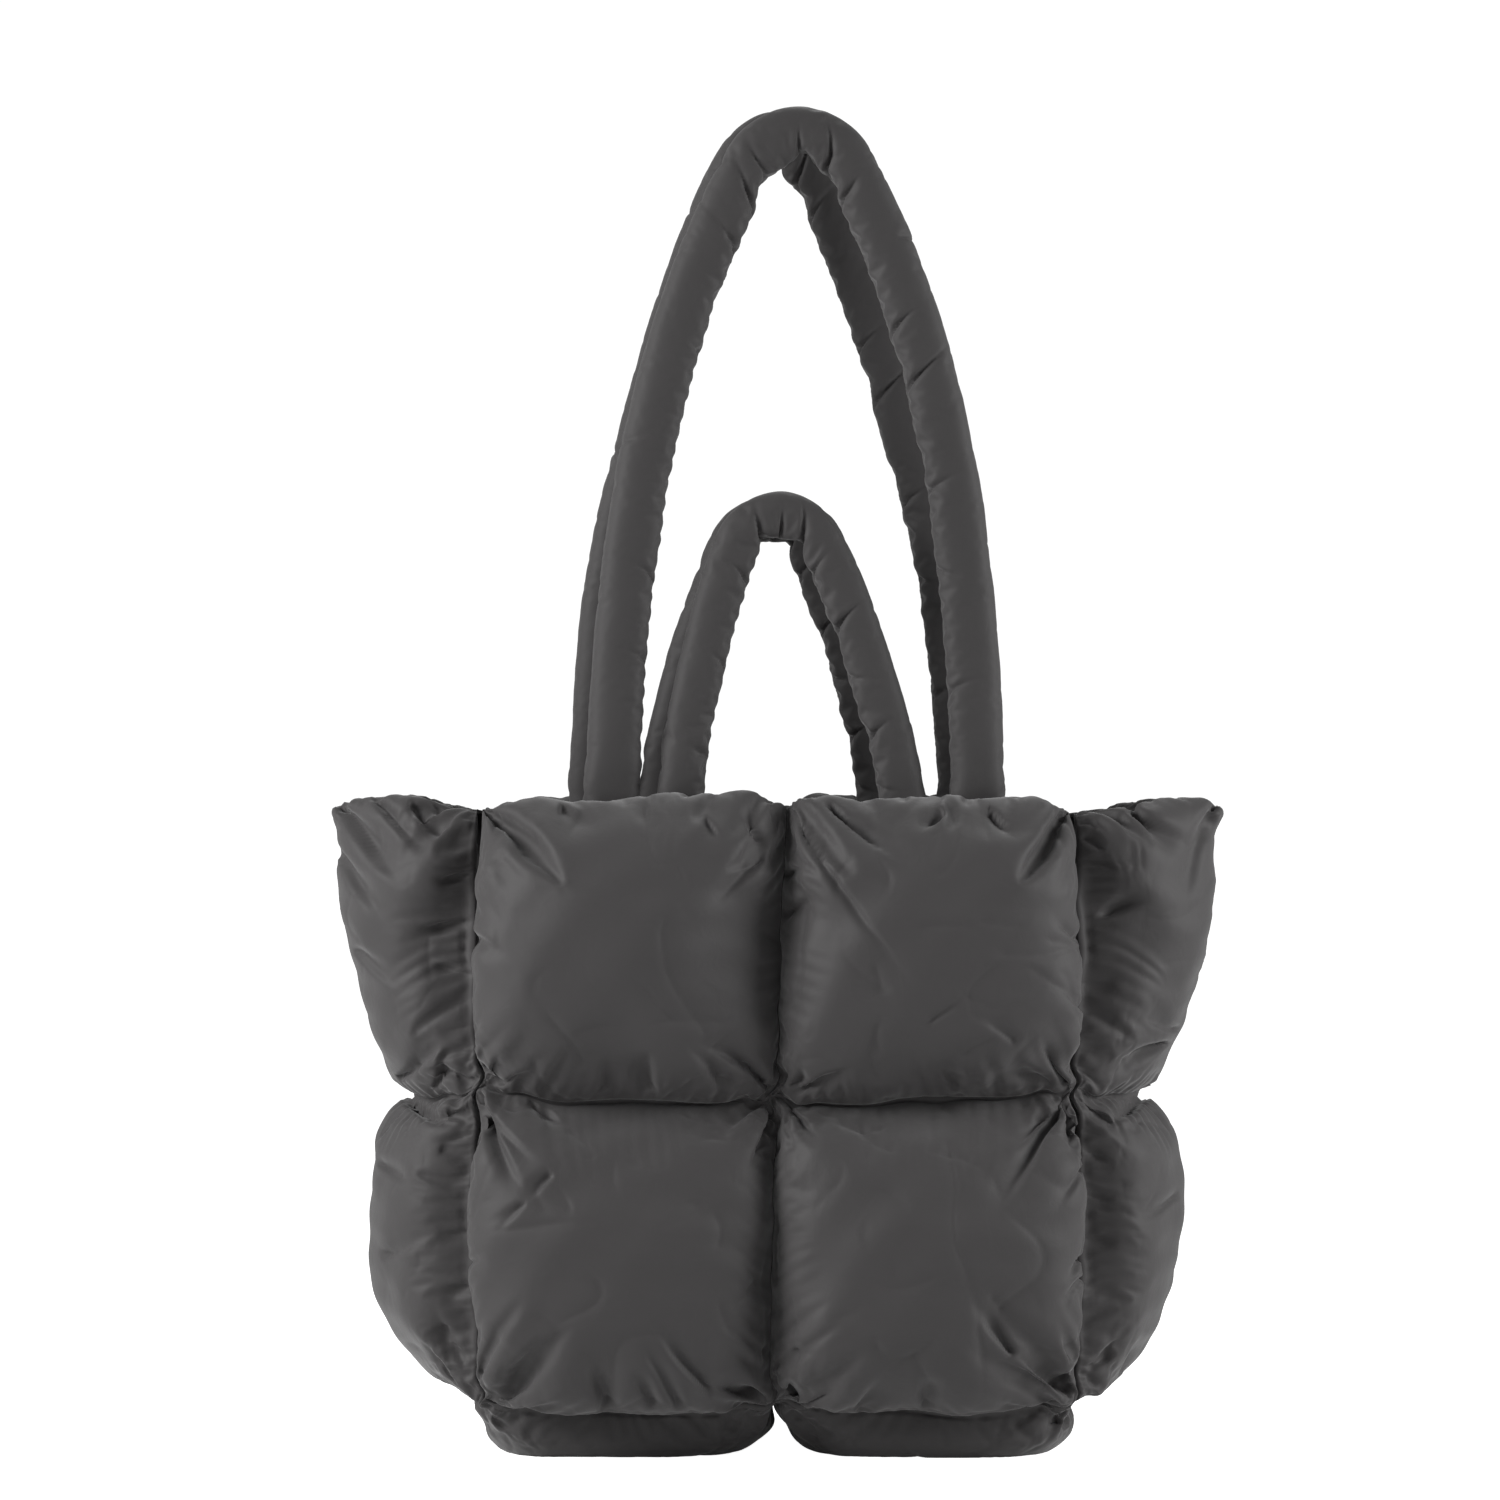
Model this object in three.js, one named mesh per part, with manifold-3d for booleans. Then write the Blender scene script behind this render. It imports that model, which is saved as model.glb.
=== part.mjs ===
// A quilted puffer tote bag, standing on its base with its handles up.
// The body is five padded panels sewn edge to edge round an open hollow: a front and a back panel of
// two by two puffs, a gusset of two puffs at each side, folded outwards, and a base of two puffs that
// the floor flattens. Two long and two short padded tube handles come out of the rim, one of each at
// the front and one of each at the back.
// Millimetres. X runs along the front panel, -Y is the front, +Z is up, and the floor is at Z = 0.

import * as THREE from "three";
import { mergeVertices } from "three/addons/utils/BufferGeometryUtils.js";
import Module from "manifold-3d";

const wasm = await Module();
wasm.setup();

// The seam lines of the body
const panelWidth = 290;
const baseDepth = 130;
const mouthDepth = 100;
const baseSeamHeight = 26;
const midSeamHeight = 178;
const rimSeamHeight = 312;
const mouthReach = 59;

// The padded rim rolls inwards to the seam that holds the handles. At a gusset's fold it flares out to
// its seam instead, and stands higher there.
const rimRoll = 14;
const rollShare = 0.16;
const foldFlare = 21;
const foldRise = 6;

// How far the puffs stand out of their seams, and the lining into the hollow
const panelFill = 29;
const gussetFill = 24;
const baseFill = 38;
const liningFill = 11;

// The sewn edges of the panels
const seamThickness = 2;
const seamGap = 0.3;

// The handles
const longRise = 335;
const longSpread = 91;
const longWidth = 28;
const longThickness = 26;
const longApexOffset = 14.5;
const shortRise = 147;
const shortSpread = 55;
const shortWidth = 24;
const shortThickness = 23;
const shortApexOffset = 25;
const footDepth = 12;
const footThickness = 13;
const footWidening = 2;
const footTaper = 48;
const pocketGap = 0.3;

// Where the middle of each handle lies along X, at its feet and at its apex
const frontLongCentre = { feet: 9, apex: 11 };
const backLongCentre = { feet: 2, apex: -1 };
const frontShortCentre = { feet: 7.5, apex: 1 };
const backShortCentre = { feet: -3, apex: -3 };

// Faces: segments of one puff each way, sides of a handle's section and the step along a handle
const puffSegments = 10;
const handleSides = 10;
const handleStep = 12;

// The shape of a puff's swell, fuller towards the rim, and of the gusset's outward fold
const swellPower = 2.5;
const rimSwellPower = 5;
const foldPower = 1.4;

// Body sections from the base seam up. rise: share of the tier's height. narrowing: share of the way
// from the base's depth to the mouth's. reach: share of the fold's reach at the mouth.
const LOWER_TIER = [
  { rise: 0.0, narrowing: 0.0, reach: 0.04 },
  { rise: 0.18, narrowing: 0.03, reach: 0.24 },
  { rise: 0.45, narrowing: 0.08, reach: 0.45 },
  { rise: 0.75, narrowing: 0.16, reach: 0.53 },
  { rise: 1.0, narrowing: 0.27, reach: 0.6 },
];
const UPPER_TIER = [
  { rise: 0.0, narrowing: 0.27, reach: 0.6 },
  { rise: 0.15, narrowing: 0.36, reach: 0.52 },
  { rise: 0.33, narrowing: 0.48, reach: 0.6 },
  { rise: 0.6, narrowing: 0.7, reach: 0.74 },
  { rise: 0.8, narrowing: 0.88, reach: 0.83 },
  { rise: 1.0, narrowing: 1.0, reach: 0.89 },
];

// Half the arch of a handle, from its feet up. rise: share of the handle's rise. front and back: share
// of the feet's spread, on the front and the back handle of the pair.
const LONG_ARCH = [
  { rise: 0.0, front: 0.985, back: 1.01 },
  { rise: 0.17, front: 0.96, back: 0.98 },
  { rise: 0.31, front: 0.92, back: 0.93 },
  { rise: 0.38, front: 0.89, back: 0.89 },
  { rise: 0.455, front: 0.855, back: 0.83 },
  { rise: 0.525, front: 0.81, back: 0.755 },
  { rise: 0.595, front: 0.755, back: 0.685 },
  { rise: 0.665, front: 0.69, back: 0.615 },
  { rise: 0.74, front: 0.605, back: 0.53 },
  { rise: 0.81, front: 0.515, back: 0.44 },
  { rise: 0.88, front: 0.405, back: 0.335 },
  { rise: 0.943, front: 0.29, back: 0.225 },
  { rise: 0.98, front: 0.19, back: 0.13 },
];
const SHORT_ARCH = [
  { rise: 0.0, front: 1.0, back: 1.0 },
  { rise: 0.25, front: 0.905, back: 0.905 },
  { rise: 0.52, front: 0.72, back: 0.73 },
  { rise: 0.72, front: 0.56, back: 0.54 },
  { rise: 0.86, front: 0.42, back: 0.4 },
  { rise: 0.955, front: 0.27, back: 0.26 },
];

// Creases on the inner side of a bent handle. along: share of its length from the left foot. depth:
// share of its section.
const LONG_CREASES = [
  { along: 0.365, depth: 0.1 },
  { along: 0.452, depth: 0.3 },
  { along: 0.507, depth: 0.34 },
  { along: 0.548, depth: 0.24 },
  { along: 0.68, depth: 0.12 },
  { along: 0.745, depth: 0.1 },
];
const SHORT_CREASES = [
  { along: 0.452, depth: 0.26 },
  { along: 0.548, depth: 0.32 },
  { along: 0.7, depth: 0.12 },
  { along: 0.85, depth: 0.12 },
];
const creaseWidth = 9;

// Soft folds in the front panel. column and row count puffs from the lower left corner, length and
// width are shares of a puff's width, turn is in degrees from the panel's X, depth is a share of the
// panel's fill.
const PANEL_FOLDS = [
  { column: 0.2, row: 0.76, turn: -55, length: 0.2, width: 0.05, depth: 0.1 },
  { column: 0.24, row: 0.2, turn: 60, length: 0.17, width: 0.06, depth: 0.1 },
  { column: 0.46, row: 0.16, turn: -75, length: 0.16, width: 0.06, depth: 0.1 },
  { column: 0.66, row: 0.2, turn: -55, length: 0.16, width: 0.05, depth: 0.08 },
  { column: 1.74, row: 0.75, turn: 45, length: 0.22, width: 0.06, depth: 0.1 },
  { column: 1.72, row: 0.24, turn: -48, length: 0.24, width: 0.05, depth: 0.12 },
  { column: 1.24, row: 1.66, turn: -55, length: 0.3, width: 0.05, depth: 0.05 },
  { column: 1.84, row: 1.3, turn: 58, length: 0.2, width: 0.06, depth: 0.08 },
  { column: 0.1, row: 1.58, turn: -20, length: 0.14, width: 0.05, depth: 0.08 },
];
// Folds in a gusset, with the same columns: across its one puff, from the front seam
const GUSSET_FOLDS = [
  { column: 0.26, row: 1.5, turn: 65, length: 0.2, width: 0.07, depth: 0.14 },
  { column: 0.2, row: 0.88, turn: 12, length: 0.2, width: 0.05, depth: 0.14 },
  { column: 0.74, row: 1.5, turn: -65, length: 0.2, width: 0.07, depth: 0.14 },
  { column: 0.8, row: 0.88, turn: -12, length: 0.2, width: 0.05, depth: 0.14 },
];

const fabric = new THREE.MeshStandardMaterial({ color: 0x4a4847, roughness: 0.62, metalness: 0 });

// A column of a table at a given place, on a smooth curve through its rows
function tableValue(table, placeColumn, column, place) {
  const last = table.length - 1;
  const next = table.findIndex((row, i) => i > 0 && place <= row[placeColumn]);
  const i = next < 0 ? last : next;
  const slopeAt = (k) => {
    const before = table[Math.max(k - 1, 0)];
    const after = table[Math.min(k + 1, last)];
    return (after[column] - before[column]) / (after[placeColumn] - before[placeColumn]);
  };
  const [low, high] = [table[i - 1], table[i]];
  const span = high[placeColumn] - low[placeColumn];
  const t = (place - low[placeColumn]) / span;
  const start = (2 * t - 3) * t * t + 1;
  const bend = ((t - 2) * t + 1) * t * span * slopeAt(i - 1) + (t - 1) * t * t * span * slopeAt(i);
  return start * low[column] + (1 - start) * high[column] + bend;
}

// The body's horizontal section. level: 0 at the base seam, 1 at the middle seam, 2 at the rim seam.
function sectionAt(level) {
  const upper = level > 1;
  const tier = upper ? UPPER_TIER : LOWER_TIER;
  const rise = upper ? level - 1 : level;
  const [floor, top] = upper ? [midSeamHeight, rimSeamHeight] : [baseSeamHeight, midSeamHeight];
  const narrowing = tableValue(tier, "rise", "narrowing", rise);
  const turn = upper ? Math.max(0, (rise - 1 + rollShare) / rollShare) * (Math.PI / 2) : 0;
  const straight = Math.min(rise, upper ? 1 - rollShare : 1);
  const rolled = 1 - Math.cos(turn);
  return {
    height: floor + (top - floor) * (straight + (upper ? rollShare * Math.sin(turn) : 0)),
    depth: baseDepth + (mouthDepth - baseDepth) * narrowing - 2 * rimRoll * rolled,
    reach: mouthReach * tableValue(tier, "rise", "reach", rise),
    flare: foldFlare * rolled ** 2,
    lift: foldRise * rolled,
  };
}

// How much of the gusset's fold there is at a share from the front to the back
function foldShare(across) {
  return 1 - Math.abs(2 * across - 1) ** foldPower;
}

// The surfaces that the seams lie in. u and v count puffs across and up the panel. flared: 1 for the
// gusset with its flared rim, 0 for the plain one that its puffs stand out of.
const seamSurfaces = {
  panel: (side) => (u, v) => {
    const section = sectionAt(v);
    return new THREE.Vector3((u - 1) * (panelWidth / 2), (side * section.depth) / 2, section.height);
  },
  gusset: (side, flared) => (u, v) => {
    const section = sectionAt(v);
    const x = side * (panelWidth / 2 + (section.reach + flared * section.flare) * foldShare(u));
    const z = section.height + flared * section.lift * foldShare(u);
    return new THREE.Vector3(x, (u - 0.5) * section.depth, z);
  },
  base: (u, v) => {
    const section = sectionAt(0);
    const x = (u - 1) * (panelWidth / 2 + section.reach * foldShare(v));
    return new THREE.Vector3(x, (v - 0.5) * section.depth, section.height);
  },
};

const bodyCentre = new THREE.Vector3(0, 0, midSeamHeight);

function outwardNormal(surface, u, v, columns, rows) {
  const step = 1e-3;
  const along = surface(Math.min(u + step, columns), v).sub(surface(Math.max(u - step, 0), v));
  const up = surface(u, Math.min(v + step, rows)).sub(surface(u, Math.max(v - step, 0)));
  const normal = along.cross(up).normalize();
  const away = surface(u, v).sub(bodyCentre);
  return normal.dot(away) < 0 ? normal.negate() : normal;
}

// A puff's swell, 0 at its seams and 1 at its middle, for a coordinate that counts puffs
function swell(position, power = swellPower) {
  const share = 2 * (position - Math.floor(position)) - 1;
  return Math.sqrt(Math.max(0, 1 - Math.abs(share) ** power));
}

// The same up the side of the bag, where the puffs stay full up to the rim
function swellUp(position) {
  return swell(position, position > 1.5 ? rimSwellPower : swellPower);
}

function liningSwell(position) {
  return Math.abs(Math.sin(Math.PI * position));
}

function foldDepth(folds, u, v) {
  return folds.reduce((sum, fold) => {
    const turn = THREE.MathUtils.degToRad(fold.turn);
    const [du, dv] = [u - fold.column, v - fold.row];
    const along = (du * Math.cos(turn) + dv * Math.sin(turn)) / fold.length;
    const across = (dv * Math.cos(turn) - du * Math.sin(turn)) / fold.width;
    return sum + fold.depth * Math.exp(-(along ** 4) - across ** 2);
  }, 0);
}

// Grid places along a panel's edge, closer together at the seams
function gridPlaces(puffs) {
  const places = [];
  for (let k = 0; k <= puffs * puffSegments; k++) {
    const puff = Math.min(Math.floor(k / puffSegments), puffs - 1);
    const share = k / puffSegments - puff;
    places.push(puff + (1 - Math.cos(Math.PI * share)) / 2);
  }
  return places;
}

function geometryOf(points, triangles) {
  const geometry = new THREE.BufferGeometry();
  const flat = points.flatMap((point) => point.toArray());
  geometry.setAttribute("position", new THREE.Float32BufferAttribute(flat, 3));
  const volume = triangles.reduce((sum, [a, b, c]) => {
    return sum + points[a].dot(new THREE.Vector3().crossVectors(points[b], points[c]));
  }, 0);
  const outward = volume < 0 ? triangles.map(([a, b, c]) => [a, c, b]) : triangles;
  geometry.setIndex(outward.flat());
  return geometry;
}

// A padded panel: an outer sheet and a lining sheet over one grid, closed along the sewn edge. facing: the
// surface whose normals its puffs stand along.
function quiltedPanel({ surface, facing = surface, columns, rows, width, fill, folds }) {
  const us = gridPlaces(columns);
  const vs = gridPlaces(rows);
  const inset = (columns * (seamThickness + seamGap)) / 2 / width;
  const inside = (place, count) => inset + (place * (count - 2 * inset)) / count;
  const outer = [];
  const lining = [];
  for (const v of vs) {
    for (const u of us) {
      const [ui, vi] = [inside(u, columns), inside(v, rows)];
      const point = surface(ui, vi);
      const normal = outwardNormal(facing, ui, vi, columns, rows);
      const stand = swell(u) * swellUp(v);
      const out = fill * stand * (1 - foldDepth(folds, u, v));
      const within = liningFill * liningSwell(u) * liningSwell(v);
      const shell = point.clone().addScaledVector(normal, seamThickness / 2 + out);
      shell.z = Math.max(shell.z, 0);
      outer.push(shell);
      lining.push(point.clone().addScaledVector(normal, -seamThickness / 2 - within));
    }
  }
  const [across, up] = [us.length, vs.length];
  const sheet = outer.length;
  const triangles = [];
  const quad = (a, b, c, d) => triangles.push([a, b, c], [a, c, d]);
  for (let j = 0; j + 1 < up; j++) {
    for (let i = 0; i + 1 < across; i++) {
      const [a, b, c, d] = [j, j, j + 1, j + 1].map((row, k) => row * across + i + (k === 1 || k === 2));
      quad(a, b, c, d);
      quad(sheet + d, sheet + c, sheet + b, sheet + a);
    }
  }
  const corner = (i, j) => j * across + i;
  const edge = [];
  for (let i = 0; i < across - 1; i++) edge.push(corner(i, 0));
  for (let j = 0; j < up - 1; j++) edge.push(corner(across - 1, j));
  for (let i = across - 1; i > 0; i--) edge.push(corner(i, up - 1));
  for (let j = up - 1; j > 0; j--) edge.push(corner(0, j));
  edge.forEach((a, k) => {
    const b = edge[(k + 1) % edge.length];
    quad(b, a, sheet + a, sheet + b);
  });
  return geometryOf([...outer, ...lining], triangles);
}

// The centre line of a handle, from the left foot over the apex to the right foot
function handlePath({ side, arch, column, rise, spread, centre, apexOffset }, extra) {
  const footHeight = rimSeamHeight - footDepth - extra;
  const footOffset = mouthDepth / 2 - rimRoll;
  const pointAt = (risen, share) => {
    const middle = centre.feet + (centre.apex - centre.feet) * risen;
    const offset = footOffset + (apexOffset - footOffset) * risen;
    return new THREE.Vector3(middle + share * spread, side * offset, rimSeamHeight + rise * risen);
  };
  const foot = (share) => pointAt(0, share).setZ(footHeight);
  const left = arch.map((row) => pointAt(row.rise, -row[column]));
  const right = arch.map((row) => pointAt(row.rise, row[column])).reverse();
  return new THREE.CatmullRomCurve3([foot(-1), ...left, pointAt(1, 0), ...right, foot(1)]);
}

// A padded tube along its path, flattened at the feet and creased where it bends, grown by grow
function handleGeometry(handle, grow) {
  const path = handlePath(handle, grow);
  const length = path.getLength();
  const steps = Math.round(length / handleStep);
  const points = [];
  for (let k = 0; k <= steps; k++) {
    const along = k / steps;
    const centre = path.getPointAt(along);
    const tangent = path.getTangentAt(along);
    const depthWise = new THREE.Vector3(0, 1, 0).addScaledVector(tangent, -tangent.y).normalize();
    const inward = depthWise.clone().cross(tangent);
    const fromFoot = Math.min(along, 1 - along) * length;
    const flat = Math.max(0, 1 - fromFoot / footTaper) ** 2;
    const width = handle.width + footWidening * flat + 2 * grow;
    const thickness = handle.thickness + (footThickness - handle.thickness) * flat + 2 * grow;
    const crease = handle.creases.reduce((sum, row) => {
      return sum + row.depth * Math.exp(-((((along - row.along) * length) / creaseWidth) ** 2));
    }, 0);
    for (let side = 0; side < handleSides; side++) {
      const angle = (2 * Math.PI * (side + 0.5)) / handleSides;
      const pinch = 1 - crease * Math.max(0, Math.cos(angle)) ** 2;
      const point = centre.clone();
      point.addScaledVector(inward, (width / 2) * Math.cos(angle) * pinch);
      point.addScaledVector(depthWise, (thickness / 2) * Math.sin(angle));
      points.push(point);
    }
  }
  const triangles = [];
  for (let k = 0; k < steps; k++) {
    for (let side = 0; side < handleSides; side++) {
      const next = (side + 1) % handleSides;
      const [a, b] = [k * handleSides + side, k * handleSides + next];
      triangles.push([a, b, b + handleSides], [a, b + handleSides, a + handleSides]);
    }
  }
  const end = steps * handleSides;
  for (let side = 1; side + 1 < handleSides; side++) {
    triangles.push([0, side + 1, side], [end, end + side, end + side + 1]);
  }
  return geometryOf(points, triangles);
}

function solidOf(geometry) {
  const merged = mergeVertices(geometry);
  const vertProperties = new Float32Array(merged.getAttribute("position").array);
  const triVerts = new Uint32Array(merged.getIndex().array);
  return new wasm.Manifold(new wasm.Mesh({ numProp: 3, vertProperties, triVerts }));
}

function geometryFrom(solid) {
  const mesh = solid.getMesh();
  const geometry = new THREE.BufferGeometry();
  geometry.setAttribute("position", new THREE.BufferAttribute(mesh.vertProperties, 3));
  geometry.setIndex(new THREE.BufferAttribute(mesh.triVerts, 1));
  return geometry;
}

function meshOf(name, geometry) {
  const mesh = new THREE.Mesh(geometry, fabric);
  mesh.name = name;
  return mesh;
}

const FACES = [
  { name: "front", side: -1, longCentre: frontLongCentre, shortCentre: frontShortCentre },
  { name: "back", side: 1, longCentre: backLongCentre, shortCentre: backShortCentre },
];

const handles = FACES.flatMap(({ name, side, longCentre, shortCentre }) => [
  {
    name: `${name}_long_handle`,
    side,
    column: name,
    arch: LONG_ARCH,
    creases: LONG_CREASES,
    centre: longCentre,
    rise: longRise,
    spread: longSpread,
    width: longWidth,
    thickness: longThickness,
    apexOffset: longApexOffset,
  },
  {
    name: `${name}_short_handle`,
    side,
    column: name,
    arch: SHORT_ARCH,
    creases: SHORT_CREASES,
    centre: shortCentre,
    rise: shortRise,
    spread: shortSpread,
    width: shortWidth,
    thickness: shortThickness,
    apexOffset: shortApexOffset,
  },
]);

// A front or back panel, with a pocket in its rim for each foot of its own handles
function mainPanel(name, side) {
  const geometry = quiltedPanel({
    surface: seamSurfaces.panel(side),
    columns: 2,
    rows: 2,
    width: panelWidth,
    fill: panelFill,
    folds: PANEL_FOLDS,
  });
  const pockets = handles.filter((handle) => handle.side === side);
  const cut = pockets.reduce((solid, handle) => {
    return solid.subtract(solidOf(handleGeometry(handle, pocketGap)));
  }, solidOf(geometry));
  return meshOf(`${name}_panel`, geometryFrom(cut));
}

function gusset(name, side) {
  const geometry = quiltedPanel({
    surface: seamSurfaces.gusset(side, 1),
    facing: seamSurfaces.gusset(side, 0),
    columns: 1,
    rows: 2,
    width: baseDepth,
    fill: gussetFill,
    folds: GUSSET_FOLDS,
  });
  return meshOf(`${name}_gusset`, geometry);
}

function basePanel() {
  const surface = seamSurfaces.base;
  const width = panelWidth;
  return meshOf(
    "base_panel",
    quiltedPanel({ surface, columns: 2, rows: 1, width, fill: baseFill, folds: [] }),
  );
}

const bag = new THREE.Group();
for (const { name, side } of FACES) bag.add(mainPanel(name, side));
bag.add(gusset("left", -1), gusset("right", 1), basePanel());
for (const handle of handles) bag.add(meshOf(handle.name, handleGeometry(handle, 0)));

export default bag;
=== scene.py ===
# The looks of a quilted puffer tote bag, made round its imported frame.
# Every padded panel is cloth: an outer sheet and a lining sheet, held along the frame's seam lines, with
# more cloth between the seams than the seams are long, and blown up until it settles. The handles are
# strips of the same cloth, sewn into tubes along their inner side. Then folds and fine creases are
# pressed into the cloth, and the whole bag is bent a little, so that no seam is quite straight.
# Lengths are in millimetres until a mesh is made, which is in metres.

import math
from collections import namedtuple
from concurrent.futures import ThreadPoolExecutor
from types import SimpleNamespace

import bpy
import numpy as np
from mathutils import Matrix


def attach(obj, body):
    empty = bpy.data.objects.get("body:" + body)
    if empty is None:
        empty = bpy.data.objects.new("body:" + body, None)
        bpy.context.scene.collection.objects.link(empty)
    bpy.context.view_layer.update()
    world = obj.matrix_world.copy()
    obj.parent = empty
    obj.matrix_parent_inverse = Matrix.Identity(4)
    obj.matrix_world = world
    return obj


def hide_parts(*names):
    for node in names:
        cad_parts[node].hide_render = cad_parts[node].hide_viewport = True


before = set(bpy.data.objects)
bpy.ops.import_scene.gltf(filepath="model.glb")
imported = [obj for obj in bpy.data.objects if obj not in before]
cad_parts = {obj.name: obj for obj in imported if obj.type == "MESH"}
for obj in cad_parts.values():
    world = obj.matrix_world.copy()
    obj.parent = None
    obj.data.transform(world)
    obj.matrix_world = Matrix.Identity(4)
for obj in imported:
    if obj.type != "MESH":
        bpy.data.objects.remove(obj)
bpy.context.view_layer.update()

METRE = 0.001

# The seam lines of the body, and how its rim rolls inwards over the last share of its height, while the
# gussets' folds flare out and rise
PANEL_WIDTH = 290.0
BASE_DEPTH = 130.0
MOUTH_DEPTH = 100.0
BASE_SEAM_HEIGHT = 26.0
MID_SEAM_HEIGHT = 178.0
RIM_SEAM_HEIGHT = 312.0
MOUTH_REACH = 59.0
RIM_ROLL = 14.0
FOLD_FLARE = 21.0
FOLD_RISE = 6.0
ROLL_SHARE = 0.16
FOLD_POWER = 1.4
SEAM_THICKNESS = 2.0
SEAM_GAP = 0.3

# How far the puffs stand out of their seams, and the lining into the hollow
PANEL_FILL = 29.0
GUSSET_FILL = 24.0
BASE_FILL = 38.0
LINING_FILL = 11.0

# Body sections from the base seam up. rise: share of the tier's height. narrowing: share of the way
# from the base's depth to the mouth's. reach: share of the fold's reach at the mouth.
LOWER_TIER = {
    "rise": (0.0, 0.18, 0.45, 0.75, 1.0),
    "narrowing": (0.0, 0.03, 0.08, 0.16, 0.27),
    "reach": (0.04, 0.24, 0.45, 0.53, 0.6),
}
UPPER_TIER = {
    "rise": (0.0, 0.15, 0.33, 0.6, 0.8, 1.0),
    "narrowing": (0.27, 0.36, 0.48, 0.7, 0.88, 1.0),
    "reach": (0.6, 0.52, 0.6, 0.74, 0.83, 0.89),
}

# Half the arch of a handle, from its feet up. rise: share of the handle's rise. front and back: share
# of the feet's spread, on the front and the back handle of the pair.
LONG_ARCH = {
    "rise": (0.0, 0.17, 0.31, 0.38, 0.455, 0.525, 0.595, 0.665, 0.74, 0.81, 0.88, 0.943, 0.98),
    "front": (0.985, 0.96, 0.92, 0.89, 0.855, 0.81, 0.755, 0.69, 0.605, 0.515, 0.405, 0.29, 0.19),
    "back": (1.01, 0.98, 0.93, 0.89, 0.83, 0.755, 0.685, 0.615, 0.53, 0.44, 0.335, 0.225, 0.13),
}
SHORT_ARCH = {
    "rise": (0.0, 0.25, 0.52, 0.72, 0.86, 0.955),
    "front": (1.0, 0.905, 0.72, 0.56, 0.42, 0.27),
    "back": (1.0, 0.905, 0.73, 0.54, 0.4, 0.26),
}
FOOT_DEPTH = 12.0
FOOT_THICKNESS = 13.0
FOOT_WIDENING = 2.0
FOOT_TAPER = 48.0

# The two kinds of handle. centres: the middle of the front and the back handle along X, at the feet
# and at the apex.
HANDLES = {
    "long": SimpleNamespace(
        arch=LONG_ARCH, rise=335.0, spread=91.0, width=28.0, thickness=26.0, apex_offset=14.5,
        centres={"front": (9.0, 11.0), "back": (2.0, -1.0)},
    ),
    "short": SimpleNamespace(
        arch=SHORT_ARCH, rise=147.0, spread=55.0, width=24.0, thickness=23.0, apex_offset=25.0,
        centres={"front": (7.5, 1.0), "back": (-3.0, -3.0)},
    ),
}

# The nets of cloth: segments across a puff and round a handle in the coarsest net, and their length
# along a handle, how fine each net is and for how many steps it settles, how many nets a lining gets,
# and how much denser a settled outer sheet is made
PUFF_SEGMENTS = 24
ROUND_SEGMENTS = 14
HANDLE_STEP = 6.0
STAGES = ((1, 260), (2, 260), (4, 320))
LINING_STAGES = 2
DENSER = 1.5

# How cloth settles: the push of its wadding, how much of its speed it keeps, and how far it gives way to
# shear and to bending, next to how it does along its threads
PRESSURE = 2.0e-4
DAMPING = 0.985
SHEAR_GIVE = 0.35
BEND_GIVE = 0.06


def smooth_value(table, column, places):
    """A column of a table at given rises, on a smooth curve through its rows."""
    at = np.array(table["rise"])
    values = np.array(table[column])
    rows = np.arange(len(at))
    before = np.maximum(rows - 1, 0)
    after = np.minimum(rows + 1, len(at) - 1)
    slopes = (values[after] - values[before]) / (at[after] - at[before])
    high = np.clip(np.searchsorted(at, places), 1, len(at) - 1)
    low = high - 1
    span = at[high] - at[low]
    t = (places - at[low]) / span
    start = (2 * t - 3) * t * t + 1
    bend = ((t - 2) * t + 1) * t * span * slopes[low] + (t - 1) * t * t * span * slopes[high]
    return start * values[low] + (1 - start) * values[high] + bend


def section(level):
    """Height, depth, and reach, flare and lift of the gusset's fold: level 0 at the base seam, 1 at the
    middle seam, 2 at the rim."""
    upper = level > 1
    rise = np.where(upper, level - 1, level)
    floor = np.where(upper, MID_SEAM_HEIGHT, BASE_SEAM_HEIGHT)
    top = np.where(upper, RIM_SEAM_HEIGHT, MID_SEAM_HEIGHT)
    narrowing, reach = (
        np.where(upper, smooth_value(UPPER_TIER, column, rise), smooth_value(LOWER_TIER, column, rise))
        for column in ("narrowing", "reach")
    )
    turn = np.where(upper, np.maximum(0, (rise - 1 + ROLL_SHARE) / ROLL_SHARE), 0) * (math.pi / 2)
    straight = np.minimum(rise, np.where(upper, 1 - ROLL_SHARE, 1))
    rolled = 1 - np.cos(turn)
    height = floor + (top - floor) * (straight + ROLL_SHARE * np.sin(turn))
    depth = BASE_DEPTH + (MOUTH_DEPTH - BASE_DEPTH) * narrowing - 2 * RIM_ROLL * rolled
    return height, depth, MOUTH_REACH * reach, FOLD_FLARE * rolled ** 2, FOLD_RISE * rolled


def fold_share(across):
    """How much of the gusset's fold there is at a share from the front to the back."""
    return 1 - np.abs(2 * across - 1) ** FOLD_POWER


# The front panel's middle seams lean and dip: its shift along X at the base, middle and rim seams, and
# how far the crossing hangs below the panel's sides
CENTRE_LEAN = {"front": (-3.0, -1.0, 4.5), "back": (2.0, 0.0, -2.0)}
CROSSING_DIP = 3.4


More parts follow.
